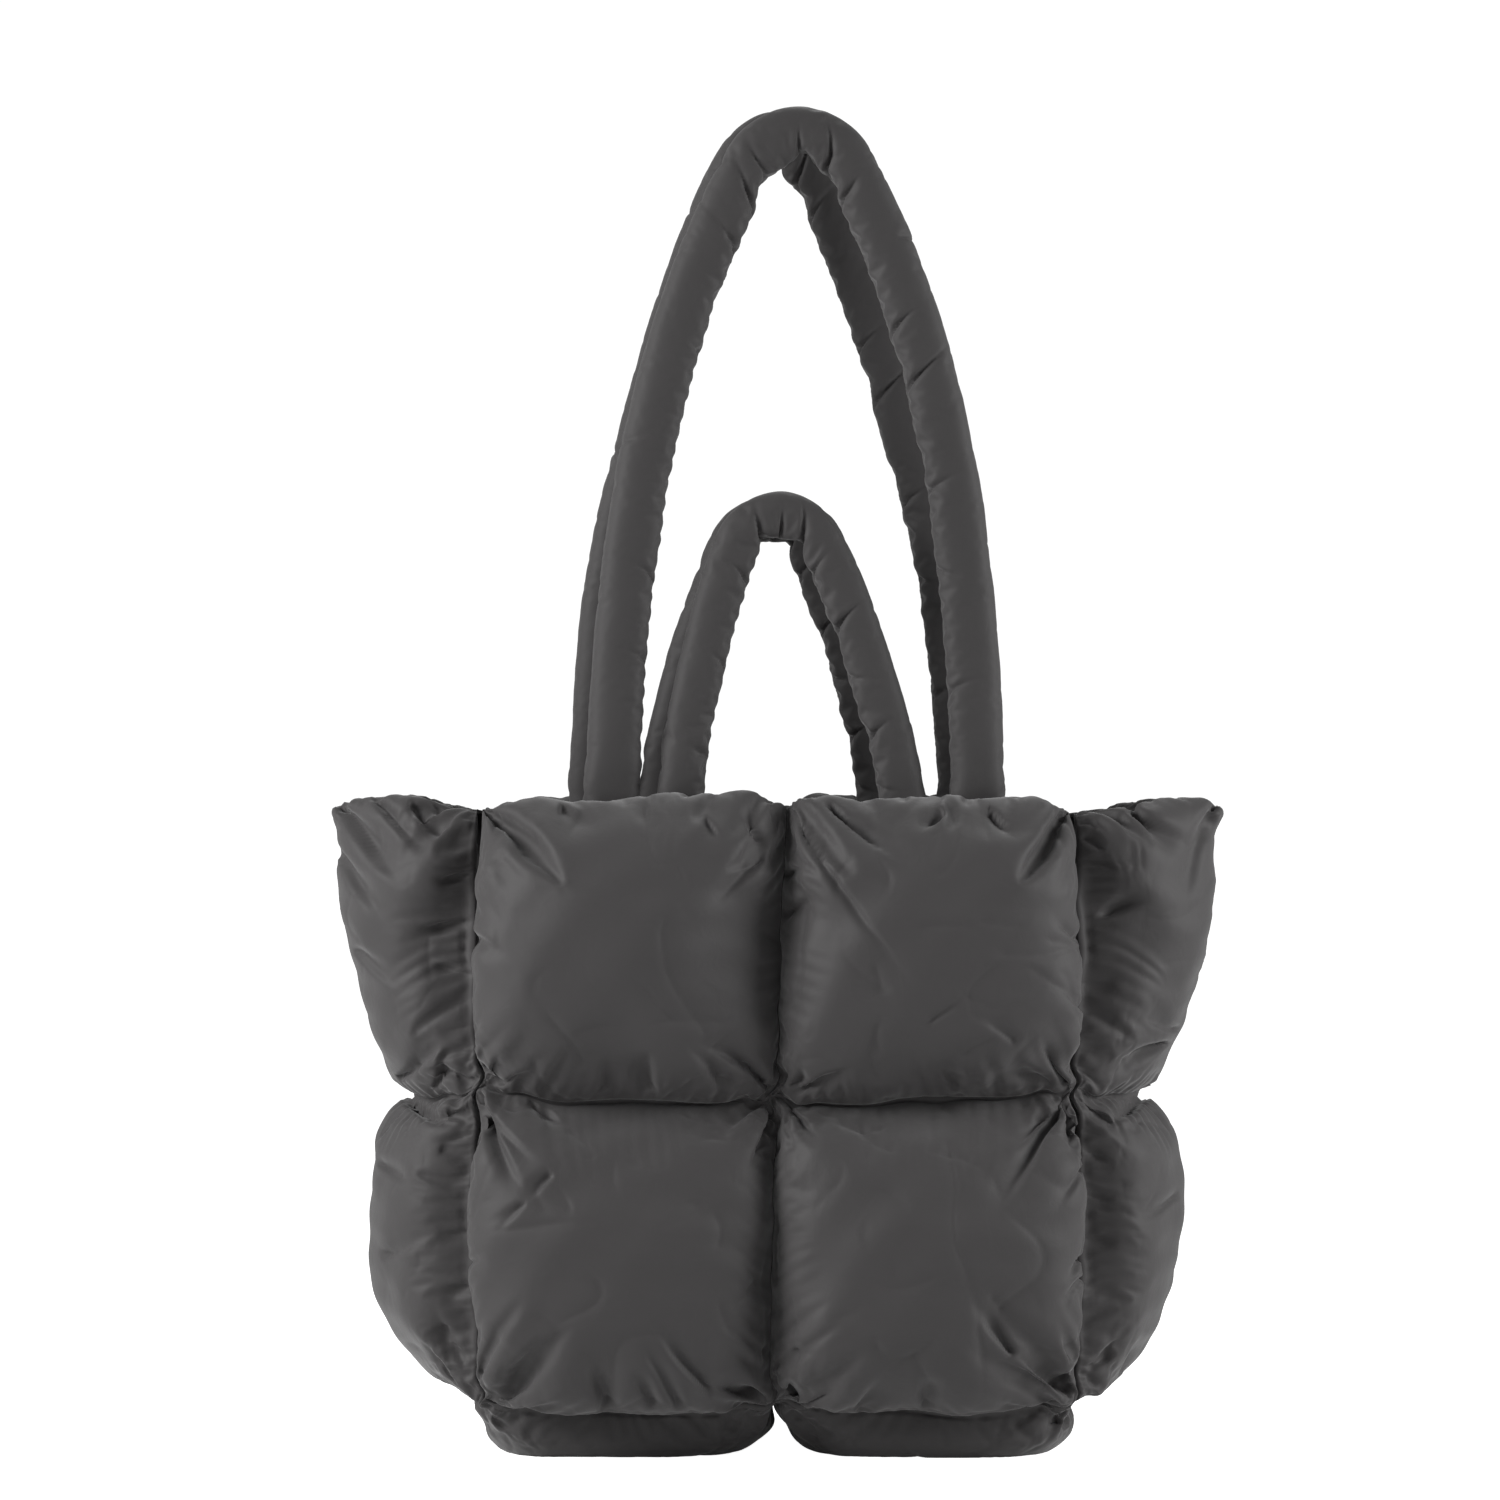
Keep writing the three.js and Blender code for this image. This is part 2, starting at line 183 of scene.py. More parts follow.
def panel_surface(face, side):
    def surface(u, v):
        height, depth, *_ = section(v)
        middle = 1 - np.abs(u - 1)
        x = (u - 1) * (PANEL_WIDTH / 2) + np.interp(v, (0, 1, 2), CENTRE_LEAN[face]) * middle
        z = height - CROSSING_DIP * middle * np.maximum(0, 1 - np.abs(v - 1))
        return np.stack((x, side * depth / 2, z))
    return surface


def gusset_surface(side, flared):
    def surface(u, v):
        height, depth, reach, flare, lift = section(v)
        x = side * (PANEL_WIDTH / 2 + (reach + flared * flare) * fold_share(u))
        return np.stack((x, (u - 0.5) * depth, height + flared * lift * fold_share(u)))
    return surface


def base_surface(u, v):
    height, depth, reach, *_ = section(np.zeros_like(v))
    x = (u - 1) * (PANEL_WIDTH / 2 + reach * fold_share(v))
    return np.stack((x, (v - 0.5) * depth, height))


def lengths_of(vectors):
    """The lengths of vectors whose parts are stacked along the first axis."""
    return np.sqrt((vectors ** 2).sum(0))


def unit(vectors):
    return vectors / np.maximum(lengths_of(vectors), 1e-9)


def as_field(vector, axes=2):
    """A vector in the shape that goes with a net of points, or with a row of them for one axis."""
    return np.array(vector).reshape(3, *[1] * axes)


def running(steps):
    """How far a row of steps has come before each of them and after the last."""
    return np.concatenate((np.zeros(1), np.cumsum(steps)))


def bell(distances, reach):
    """1 where a distance is 0, and next to nothing at twice the reach."""
    return np.exp(-(distances / reach) ** 2)


def across_product(a, b):
    return np.stack((a[1] * b[2] - a[2] * b[1], a[2] * b[0] - a[0] * b[2], a[0] * b[1] - a[1] * b[0]))


def sheet_normals(points):
    """Vectors square to a sheet at its points, all on the same side of it."""
    return across_product(np.gradient(points, axis=2), np.gradient(points, axis=1))


BODY_CENTRE = as_field((0.0, 0.0, MID_SEAM_HEIGHT))


def outward(surface, u, v, columns, rows):
    """The surface's unit normals, away from the middle of the body."""
    step = 1e-3
    along = surface(np.minimum(u + step, columns), v) - surface(np.maximum(u - step, 0), v)
    up = surface(u, np.minimum(v + step, rows)) - surface(u, np.maximum(v - step, 0))
    normal = unit(across_product(along, up))
    facing = (normal * (surface(u, v) - BODY_CENTRE)).sum(0)
    return normal * np.where(facing < 0, -1, 1)


# A puff's swell is 0 at its seams and 1 at its middle, flatter in the middle for a higher power. A panel
# has a pair of powers for each puff, for its first and its second half, across it and up it.
SIDE_POWERS = (2.5, 2.5)
FALLING_POWERS = (2.1, 5.0)
PANEL_POWERS = ((4.6, 3.2), (6.0, 4.6))
TUCKED_POWERS = (3.4, 2.3)
HANGING_POWERS = (3.0, 6.0)
BASE_POWERS = ((3.4, 1.6), (1.6, 3.4))
LINING_POWERS = (2.0, 2.0)
SWELL_SAMPLES = 600


def swell(places, powers, squarer=0):
    puff = np.clip(np.floor(places).astype(int), 0, len(powers) - 1)
    share = 2 * (places - puff) - 1
    power = np.array(powers)[puff, (share > 0).astype(int)] + squarer
    return np.sqrt(np.maximum(0, 1 - np.abs(share) ** power))


def even_places(segments, powers, span, fill):
    """Places along a panel's puffs, with a point on each seam and even steps over the swell between."""
    places = [np.zeros(1)]
    share = -np.cos(np.linspace(0, math.pi, SWELL_SAMPLES))
    for puff, (first_half, second_half) in enumerate(powers):
        power = np.where(share > 0, second_half, first_half)
        height = fill * np.sqrt(np.maximum(0, 1 - np.abs(share) ** power))
        along = running(np.hypot(np.diff(share) * span / 2, np.diff(height)))
        even = np.interp(np.linspace(0, along[-1], segments + 1), along, (share + 1) / 2)
        places.append(puff + even[1:])
    return np.concatenate(places)


# The uneven fields that a seed draws: how many plane waves each is the sum of, their shortest and
# longest length, and how high the field is
Waves = namedtuple("Waves", "count shortest longest size")
LUMPS = Waves(9, 45.0, 110.0, 1.1)
UNEVEN_SLACK = Waves(7, 22.0, 70.0, 1.1)
CREASE_LINES = Waves(7, 34.0, 120.0, 1.0)
CREASE_FADES = Waves(6, 28.0, 80.0, 2.0)
HANDLE_LUMPS = Waves(7, 20.0, 60.0, 1.0)
SERRATION = Waves(6, 6.0, 11.0, 0.35)


def waves(seed, kind, closer=1.0):
    """An uneven field over a sheet, drawn from a seed, its waves shorter where they are closer."""
    draw = np.random.default_rng(seed)
    count = kind.count
    lengths = draw.uniform(kind.shortest / closer, kind.longest / closer, count)
    turns = draw.uniform(0, 2 * math.pi, count)
    phases = draw.uniform(0, 2 * math.pi, count)
    def field(x, y):
        total = sum(
            np.sin(2 * math.pi / length * (x * math.cos(turn) + y * math.sin(turn)) + phase)
            for length, turn, phase in zip(lengths, turns, phases)
        )
        return kind.size * total / math.sqrt(count)
    return field


# The steep side of a fold as a share of its gentle side, how far a fold reaches back past its start as a
# share of its length, and how much of its depth it still has where along it
FOLD_STEEPNESS = 0.36
FOLD_START = 0.12
FOLD_KEEPS = 0.8
FOLD_KEEPS_TO = 0.35


def folds_at(folds, across, height):
    """How deep the listed folds are at places seen from the front, in millimetres. A fold is narrow and
    deep where it starts, and runs out wide and shallow. It is steep on its left side if it widens by a
    negative width, and on its right side otherwise."""
    total = np.zeros_like(across)
    for start_x, start_z, end_x, end_z, start_width, end_width, depth in folds:
        run_x, run_z = end_x - start_x, end_z - start_z
        length = math.hypot(run_x, run_z)
        dx, dz = across - start_x, height - start_z
        along = (dx * run_x + dz * run_z) / length ** 2
        beside = (dx * run_z - dz * run_x) / length
        width = np.interp(along, (0, 1), (start_width, abs(end_width)))
        beside = beside * math.copysign(1, end_width) / width
        beside = np.where(beside < 0, beside / FOLD_STEEPNESS, beside)
        fade = np.interp(along, (-FOLD_START, 0, FOLD_KEEPS_TO, 1), (0, 1, FOLD_KEEPS, 0))
        total += depth * fade * fade * (3 - 2 * fade) * np.exp(-beside ** 2 / 2)
    return total


def spring_sets(goal, slack_across, slack_up, free):
    """Threads of a net in sets that share no point: two slices, length at rest and each end's give."""
    _, rows, columns = goal.shape
    across = np.diff(goal, axis=2) * (slack_across[:, 1:] + slack_across[:, :-1]) / 2
    up = np.diff(goal, axis=1) * (slack_up[1:] + slack_up[:-1]) / 2
    rising = across[:, :-1] + up[:, :, 1:]
    falling = across[:, 1:] - up[:, :, 1:]
    wide = across[:, :, :-1] + across[:, :, 1:]
    tall = up[:, :-1] + up[:, 1:]
    every = slice(None)
    sets = []

    def add(first, second, vectors, give):
        rest = lengths_of(vectors)
        free_first, free_second = free[first], free[second]
        both = np.maximum(free_first + free_second, 1)
        sets.append((
            (every, *first), (every, *second), rest.astype(np.float32),
            (give * free_first / both).astype(np.float32),
            (give * free_second / both).astype(np.float32),
        ))

    for odd in (0, 1):
        one, other = slice(odd, -1, 2), slice(odd + 1, None, 2)
        add((every, one), (every, other), across[:, :, odd::2], 1.0)
        add((one, every), (other, every), up[:, odd::2], 1.0)
    for odd in (0, 1):
        one, other = slice(odd, -1, 2), slice(odd + 1, None, 2)
        add((one, slice(0, -1)), (other, slice(1, None)), rising[:, odd::2], SHEAR_GIVE)
        add((other, slice(0, -1)), (one, slice(1, None)), falling[:, odd::2], SHEAR_GIVE)
    for start in range(4):
        one, other = slice(start, -2, 4), slice(start + 2, None, 4)
        add((every, one), (every, other), wide[:, :, start::4], BEND_GIVE)
        add((one, every), (other, every), tall[:, start::4], BEND_GIVE)
    return sets


def relax(points, net, steps):
    """Lets a net of cloth settle under pressure, with its held points in place."""
    free = net.free[None].astype(np.float32)
    springs = spring_sets(net.goal, net.slack_across, net.slack_up, net.free)
    step_size = lengths_of(np.diff(net.goal, axis=2)).mean()
    push = (PRESSURE * step_size ** 2 * net.blow) * free[:, 1:-1, 1:-1]
    points = points.astype(np.float32)
    before = points.copy()
    for _ in range(steps):
        across = points[:, 1:-1, 2:] - points[:, 1:-1, :-2]
        up = points[:, 2:, 1:-1] - points[:, :-2, 1:-1]
        moved = points + (points - before) * (DAMPING * free)
        moved[:, 1:-1, 1:-1] += unit(across_product(across, up)) * push
        before = points
        points = moved
        for first, second, rest, give_first, give_second in springs:
            a, b = points[first], points[second]
            apart = b - a
            length = np.sqrt(apart[0] ** 2 + apart[1] ** 2 + apart[2] ** 2)
            apart *= 1 - rest / length
            a += apart * give_first
            b -= apart * give_second
        net.keep(points)
    return points


def finer(field):
    """A field on a net with twice the points each way, halfway between where it had none."""
    count, rows, columns = field.shape
    wide = np.empty((count, rows, 2 * columns - 1))
    wide[:, :, ::2] = field
    wide[:, :, 1::2] = (field[:, :, 1:] + field[:, :, :-1]) / 2
    full = np.empty((count, 2 * rows - 1, 2 * columns - 1))
    full[:, ::2] = wide
    full[:, 1::2] = (wide[:, 1:] + wide[:, :-1]) / 2
    return full


def denser_rows(field, stretches):
    """A field whose last axis has half as many points again, on smooth curves within each stretch."""
    segments = (field.shape[-1] - 1) // stretches
    places = np.arange(segments * DENSER + 1) / DENSER
    left = np.minimum(places.astype(int), segments - 1)
    t = places - left
    parts = []
    for k in range(stretches):
        part = field[..., k * segments:(k + 1) * segments + 1]
        before, after = 2 * part[..., :1] - part[..., 1:2], 2 * part[..., -1:] - part[..., -2:-1]
        part = np.concatenate((before, part, after), -1)
        a, b, c, d = (part[..., left + step] for step in range(4))
        curve = b + t / 2 * (c - a + t * (2 * a - 5 * b + 4 * c - d + t * (3 * (b - c) + d - a)))
        parts.append(curve if k == stretches - 1 else curve[..., :-1])
    return np.concatenate(parts, -1)


def denser_up(field, stretches):
    """The same for the last axis but one."""
    return np.swapaxes(denser_rows(np.swapaxes(field, -1, -2), stretches), -1, -2)


def settle(net_at, stages):
    """The settled points of a sheet, worked out on coarse cloth first and then on finer cloth."""
    offset = None
    for fineness, steps in stages:
        net = net_at(fineness)
        offset = np.zeros_like(net.goal) if offset is None else finer(offset)
        start = net.goal + offset + net.ripple
        offset = relax(start, net, steps) - net.goal
    return net, net.goal + offset


# How a seam's groove wanders where two puffs press on each other, the clearance between them, and the
# ripple that the cloth starts to settle from
WANDER = 0.45
WANDER_LENGTH = 11.0
WANDER_SHORT = 4.3
TOUCH_GAP = 0.2
RIPPLE = 0.25


def seam_planes(goal, lines, leans, pushes, segments, axis):
    """For each point, a place on its nearest seam line and the unit normal of the plane that stands
    there, pointing to the point's own side. leans: the direction in which each line's plane stands, or
    None where nothing stops the cloth. pushes: how far the plane is pushed in the middle of each puff.
    axis: 2 for lines that cross the columns, 1 for the rows."""
    places = np.zeros_like(goal)
    normals = np.zeros_like(goal)
    along = np.swapaxes(goal, 1, 2) if axis == 1 else goal
    place, normal = (np.swapaxes(a, 1, 2) if axis == 1 else a for a in (places, normals))
    for start, end in zip(lines, lines[1:]):
        middle = (start + end) // 2
        for line, lean, near in ((start, leans[start], slice(start + 1, middle + 1)),
                                 (end, leans[end], slice(middle + 1, end))):
            if lean is None:
                continue
            seam = along[:, :, line]
            level = unit(across_product(np.gradient(seam, axis=1), lean))
            length = running(lengths_of(np.diff(seam, axis=1)))
            puff = np.minimum(np.arange(len(length)) // segments, (len(length) - 1) // segments - 1)
            first, last = length[puff * segments], length[(puff + 1) * segments]
            bulge = np.sin(math.pi * (length - first) / (last - first))
            wander = WANDER * np.sin(length / WANDER_LENGTH) + WANDER * np.sin(length / WANDER_SHORT)
            push = as_field(pushes[line], 1)
            pushed = seam + (push + unit(push) * wander) * bulge
            side = np.sign(((along[:, :, middle] - seam) * level).sum())
            place[:, :, near] = pushed[:, :, None]
            normal[:, :, near] = (side * level)[:, :, None]
    return places.astype(np.float32), normals.astype(np.float32)


def distance_to_lines(lines, steps):
    """The distance of each point of a row to its nearest line, along the row."""
    at = running(steps)
    return np.abs(at[:, None] - at[lines][None]).min(1)


# How far the puffs lean over a seam, as a multiple of the push on it, how fully along a puff, how near
# the seam, and how soon beside it they start to
OVERHANG = 1.9
OVERHANG_POWER = 0.5
OVERHANG_REACH = 22.0
OVERHANG_EDGE = 3.5


def overhang(spec, u, v, spans, share):
    """How far the puffs lean over their seams in the middle of each puff."""
    pushes = {edge: push for edge, (_, push) in spec.edges.items()}
    side_lines = ((0, pushes["left"], OVERHANG), (spec.columns, pushes["right"], OVERHANG))
    if spec.rows > 1:
        up_lines = ((0, pushes["bottom"], OVERHANG), (1, MID_SAG, 1.0))
    else:
        up_lines = ((0, pushes["bottom"], 1.0), (1, pushes["top"], 1.0))
    total = np.zeros((3, *u.shape))
    for lines, toward, beside, span in ((side_lines, u, v, spans[0]), (up_lines, v, u, spans[1])):
        middle = np.abs(np.sin(math.pi * beside)) ** OVERHANG_POWER
        for line, push, strength in lines:
            near = bell((toward - line) * span, OVERHANG_REACH)
            total += strength * as_field(push) * (near * middle * share)
    return total


# Where the rim's squarer part begins, in puffs, and how much squarer it is
RIM_BEGINS = 1.65
RIM_SQUARER = 5.0

# How near the seams the lumps of the wadding start, and the reach of the gathers along the seams and at
# the corners
LUMP_EDGE = 1.4
PUCKER_REACH = 14.0
CORNER_REACH = 26.0
CORNER_SLACK = 0.12

# The pinch and the gathers where seams cross
PINCH = 0.7
PINCH_REACH = 16.0
GATHERS = 11
GATHER_DEPTH = 1.1
GATHER_AT = 15.0
GATHER_REACH = 10.0
GATHER_EDGE = 3.0
GATHERS_TURN = (1.7, 2.3)

# Where the rim's sheets begin to part round the handles' feet, in puffs, over how much of a puff, and
# how far beside the feet, in millimetres
FEET_BEGIN = 1.9
FEET_PART_OVER = 0.1
FEET_PART_BEYOND = 7.0

# How far the upper puffs hang over the seam below them
MID_TILT = -0.55


def panel_net(spec, lining, fineness):
    """The net of a panel's outer sheet or of its lining sheet."""
    segments = PUFF_SEGMENTS * fineness
    side_powers = [LINING_POWERS] * spec.columns if lining else spec.side_powers
    up_powers = [LINING_POWERS] * spec.rows if lining else spec.up_powers
    fill = LINING_FILL if lining else spec.fill
    spans = (spec.width / spec.columns, spec.height / spec.rows)
    u, v = np.meshgrid(
        even_places(segments, side_powers, spans[0], fill), even_places(segments, up_powers, spans[1], fill)
    )
    inset = spec.columns * (SEAM_THICKNESS + SEAM_GAP) / 2 / spec.width
    ui = inset + u * (spec.columns - 2 * inset) / spec.columns
    vi = inset + v * (spec.rows - 2 * inset) / spec.rows
    normal = outward(spec.facing, ui, vi, spec.columns, spec.rows)
    near_rim = np.clip((v - RIM_BEGINS) / (spec.rows - RIM_BEGINS), 0, 1) if spec.rows > 1 else 0
    stand = swell(u, side_powers, (not lining) * RIM_SQUARER * near_rim) * swell(v, up_powers)
    x, y = ui * spans[0], vi * spans[1]
    lumps = waves(spec.seed + 7 * lining, LUMPS)(x, y) * np.minimum(1, LUMP_EDGE * stand)

    crossing_u, crossing_v = np.round(u), np.round(v)
    away_x, away_y = (u - crossing_u) * spans[0], (v - crossing_v) * spans[1]
    from_crossing = np.hypot(away_x, away_y)
    turned_by = GATHERS_TURN[0] * crossing_u + GATHERS_TURN[1] * crossing_v + spec.seed
    gathers = GATHER_DEPTH * np.sin(GATHERS * np.arctan2(away_y, away_x) + turned_by)
    gathers = gathers * bell(from_crossing - GATHER_AT, GATHER_REACH)
    pinched = 1 - PINCH * bell(from_crossing, PINCH_REACH)
    out = fill * stand * pinched + lumps + gathers * np.minimum(1, GATHER_EDGE * stand)

    facing = -1 if lining else 1
    goal = spec.surface(ui, vi) + normal * facing * (SEAM_THICKNESS / 2 + out)
    if not lining:
        goal += overhang(spec, u, v, spans, np.minimum(1, OVERHANG_EDGE * stand))
    if spec.feet is not None:
        parting = np.clip((v - FEET_BEGIN) / FEET_PART_OVER, 0, 1)
        goal[1] += spec.side * -facing * spec.feet(goal[0]) * parting
    if spec.floor is not None:
        goal[2] = np.maximum(goal[2], spec.floor)

    side_lines = [segments * k for k in range(spec.columns + 1)]
    up_lines = [segments * k for k in range(spec.rows + 1)]
    free = np.ones(u.shape, np.float32)
    free[:, side_lines] = 0
    free[up_lines] = 0
    from_side = distance_to_lines(side_lines, lengths_of(np.diff(goal[:, segments // 2])))[None]
    from_end = distance_to_lines(up_lines, lengths_of(np.diff(goal[:, :, segments // 2])))[:, None]
    corner = np.exp(-(from_side ** 2 + from_end ** 2) / CORNER_REACH ** 2)
    uneven = np.maximum(0, 1 + waves(spec.seed + 3, UNEVEN_SLACK)(x, y))
    slack_up, slack_across = (
        1 + spec.slack + slack * bell(distance, PUCKER_REACH) * uneven + CORNER_SLACK * corner
        for slack, distance in ((spec.side_slack, from_side), (spec.end_slack, from_end))
    )

    def planes(lines, edge_names, axis, tilt, push):
        leans, pushes = {}, {}
        for line in lines:
            leans[line] = normal[:, :, line] if axis == 2 else normal[:, line]
            leans[line] = leans[line] + as_field(tilt, 1) * (not lining)
            pushes[line] = np.array(push) * (not lining)
        for line, edge in zip((lines[0], lines[-1]), edge_names):
            lean, push = spec.edges[edge]
            leans[line] = None if lean is None else as_field(lean, 1)
            pushes[line] = np.array(push) * (not lining)
        return seam_planes(goal, lines, leans, pushes, segments, axis)

    sides = planes(side_lines, ("left", "right"), 2, (0, 0, 0), (0, 0, 0))
    ends = planes(up_lines, ("bottom", "top"), 1, (0, 0, MID_TILT), MID_SAG)

    def keep(points):
        for places, normals in (sides, ends):
            gap = ((points - places) * normals).sum(0) - TOUCH_GAP
            points -= normals * np.minimum(gap, 0) * free
        if spec.floor is not None:
            np.maximum(points[2], spec.floor, out=points[2])

    turned = np.sign((sheet_normals(goal) * normal).sum())
    ripple = np.random.default_rng(spec.seed + fineness).normal(0, RIPPLE / fineness, u.shape)
    return SimpleNamespace(
        goal=goal, free=free, slack_across=slack_across, slack_up=slack_up, blow=turned * facing,
        ripple=normal * ripple * free, keep=keep, stand=stand,
    )


# Fine creases all over the cloth: how many layers of them, their width, the least slope of a wave that
# counts, and how high a field has to be for its creases to show
CREASE_LAYERS = 4
CREASE_WIDTH = 1.7
LEAST_SLOPE = 0.01
CREASES_SHOW_AT = 0.4

# Closer creases where seams cross
CRUMPLE_REACH = 30.0
CRUMPLE_DEPTH = 2.0
CRUMPLE_CLOSER = 3.0

# Where the folds of the front give way to the back's, how near the seams folds start, and their depth
# as a multiple of the listed one
FOLD_BLEND = 3.0
FOLD_EDGE = 3.5
FOLD_STRENGTH = 2.2


def creases(seed, x, y, closer=1.0):
    """Fine creases over a sheet: lines where slow waves change sign, each fading in and out."""
    total = np.zeros_like(x)
    for layer in range(CREASE_LAYERS):
        line = waves(seed + 7 * layer, CREASE_LINES, closer)(x, y)
        slope_up, slope_across = np.gradient(line, y[:, 0], x[0])
        away = line / (np.hypot(slope_up, slope_across) + LEAST_SLOPE)
        shown = waves(seed + 7 * layer + 3, CREASE_FADES, closer)(x, y)
        total += np.clip(shown - CREASES_SHOW_AT, 0, 1) * np.exp(-np.abs(away) / CREASE_WIDTH)
    return total


def fold_panel(spec, net, points):
    """Presses the listed folds into a settled outer sheet, on each side of the bag that they are on."""
    points, stand = (
        denser_up(denser_rows(field, spec.columns), spec.rows) for field in (points, net.stand)
    )
    _, rows, columns = points.shape
    inward = -unit(sheet_normals(points)) * net.blow
    depth = np.zeros_like(points[0])
    for side, folds in spec.folds.items():
        on_side = 1 / (1 + np.exp(-side * points[1] / FOLD_BLEND))
        depth += on_side * folds_at(folds, points[0], points[2])
    x, y = np.meshgrid(np.linspace(0, spec.width, columns), np.linspace(0, spec.height, rows))
    away_x, away_y = (
        along - span * np.round(along / span)
        for along, span in ((x, spec.width / spec.columns), (y, spec.height / spec.rows))
    )
    knotted = np.exp(-(away_x ** 2 + away_y ** 2) / CRUMPLE_REACH ** 2)
    depth = FOLD_STRENGTH * depth + spec.crease * creases(spec.seed + 5, x, y)
    depth += CRUMPLE_DEPTH * knotted * creases(spec.seed + 6, x, y, CRUMPLE_CLOSER)
    points = points + inward * depth * np.minimum(1, FOLD_EDGE * stand)
    if spec.floor is not None:
        points[2] = np.maximum(points[2], spec.floor)
    return points


# How finely a handle's arch is measured, to set its points in even steps
ARCH_SAMPLES = 3000


def handle_frames(kind, face, side, count):
    """Centres, tangents and the inward and depthwise directions of a handle, in even steps."""
    foot_offset = MOUTH_DEPTH / 2 - RIM_ROLL
    feet_centre, apex_centre = kind.centres[face]
    rise = np.array(kind.arch["rise"])
    share = np.array(kind.arch[face])
    risen = np.concatenate(([0.0], rise, [1.0], rise[::-1], [0.0]))
    spread = np.concatenate(([-1.0], -share, [0.0], share[::-1], [1.0]))
    x = feet_centre + (apex_centre - feet_centre) * risen + spread * kind.spread
    y = side * (foot_offset + (kind.apex_offset - foot_offset) * risen)
    z = RIM_SEAM_HEIGHT + kind.rise * risen
    z[[0, -1]] = RIM_SEAM_HEIGHT - FOOT_DEPTH
    table = {"rise": running(lengths_of(np.diff(np.stack((x, y, z))))), "x": x, "y": y, "z": z}

    def curve(places):
        return np.stack([smooth_value(table, axis, places) for axis in "xyz"])

    dense = np.linspace(0, table["rise"][-1], ARCH_SAMPLES)
    lengths = running(lengths_of(np.diff(curve(dense))))
    centres = curve(np.interp(np.linspace(0, lengths[-1], count), lengths, dense))
    tangents = unit(np.gradient(centres, axis=1))
    depthwise = unit(as_field((0.0, 1.0, 0.0), 1) - tangents * tangents[1])
    return centres, across_product(depthwise, tangents), depthwise, lengths[-1]


# Pinches on the inner side of a bent handle: where along it, as a share of its length from the left
# foot, how deep, as a share of its section, and how long, in millimetres along the handle
PINCHES = {
    "long": ((0.365, 0.1, 8), (0.452, 0.3, 8), (0.507, 0.34, 9), (0.548, 0.24, 8),
             (0.68, 0.12, 7), (0.745, 0.1, 7)),
    "short": ((0.452, 0.26, 8), (0.548, 0.32, 8), (0.7, 0.12, 7), (0.85, 0.12, 7)),
}

# Folds across a handle: where along it, as a share of its length, the middle and spread of the fold in
# degrees round it from its inner seam, where 270 faces the front, how wide and deep it is in
# millimetres, and how far it runs along the handle as it goes round
HANDLE_FOLDS = {
    "long": (
        (0.12, 330, 40, 1.6, 1.0, 0.3), (0.175, 335, 45, 1.8, 1.6, 0.4), (0.26, 200, 40, 2.2, 0.8, -0.3),
        (0.33, 340, 40, 2.0, 1.0, 0.3), (0.405, 330, 50, 2.4, 1.8, 0.5), (0.437, 325, 60, 2.2, 2.6, 0.7),
        (0.462, 300, 50, 2.0, 1.6, 0.4), (0.5, 320, 45, 2.0, 1.8, 0.0), (0.532, 315, 60, 2.2, 2.6, -0.6),
        (0.56, 330, 50, 2.4, 2.0, -0.4), (0.6, 210, 40, 2.2, 0.9, 0.3), (0.655, 325, 45, 1.8, 2.0, -0.4),
        (0.69, 300, 60, 1.6, 1.8, -0.5), (0.765, 325, 45, 1.8, 1.6, -0.3), (0.82, 335, 40, 1.8, 1.2, 0.3),
        (0.9, 325, 45, 2.0, 1.2, -0.3), (0.43, 150, 50, 2.4, 1.2, 0.4), (0.55, 120, 50, 2.4, 1.4, -0.4),
        (0.7, 60, 50, 2.0, 1.6, 0.4), (0.2, 60, 50, 2.0, 1.4, -0.4), (0.86, 70, 50, 2.0, 1.2, 0.4),
    ),
    "short": (
        (0.12, 330, 40, 1.8, 1.0, 0.3), (0.25, 335, 45, 1.8, 1.2, 0.4), (0.38, 325, 50, 2.0, 1.6, 0.4),
        (0.455, 310, 60, 2.2, 2.6, 0.3), (0.5, 320, 50, 2.2, 2.0, 0.0), (0.545, 310, 60, 2.2, 2.6, -0.5),
        (0.6, 330, 45, 2.0, 1.6, -0.4), (0.685, 320, 55, 1.8, 2.2, -0.4), (0.76, 335, 40, 1.8, 1.4, 0.3),
        (0.845, 325, 45, 1.8, 1.8, -0.3), (0.92, 335, 40, 1.8, 1.2, 0.3), (0.46, 60, 55, 2.2, 2.2, -0.3),
        (0.54, 60, 55, 2.2, 2.2, 0.3), (0.3, 60, 50, 2.0, 1.4, 0.4), (0.72, 60, 50, 2.0, 1.4, -0.4),
    ),
}

# Where the handles' faces flatten, as a share of half their thickness, the depth of their folds as a
# multiple of the listed one, how fast a fold falls off along the handle, and their fine creases
HANDLE_FLAT = 1.05
HANDLE_STRENGTH = 1.8
HANDLE_FOLD_POWER = 1.3
HANDLE_CREASES = 0.15

# A handle's seam: its groove as a share of the section, and the reach round the handle, in radians, of
# the groove, of the teeth that the stitches pull up and of the slack cloth beside them
SEAM_GROOVE = 0.09
GROOVE_REACH = 0.3
SERRATION_REACH = 0.12
SLACK_REACH = 0.45
HANDLE_SLACK = 0.004
SEAM_SLACK = 0.012
BEND_SLACK = 1.05

# How far the wadding is from even, as a share of the section, the radius that its unevenness is drawn
# for, and how strongly the cloth's rings are held round the arch
HANDLE_UNEVEN = 0.01
HANDLE_RADIUS = 13.0
CENTRING = 0.04


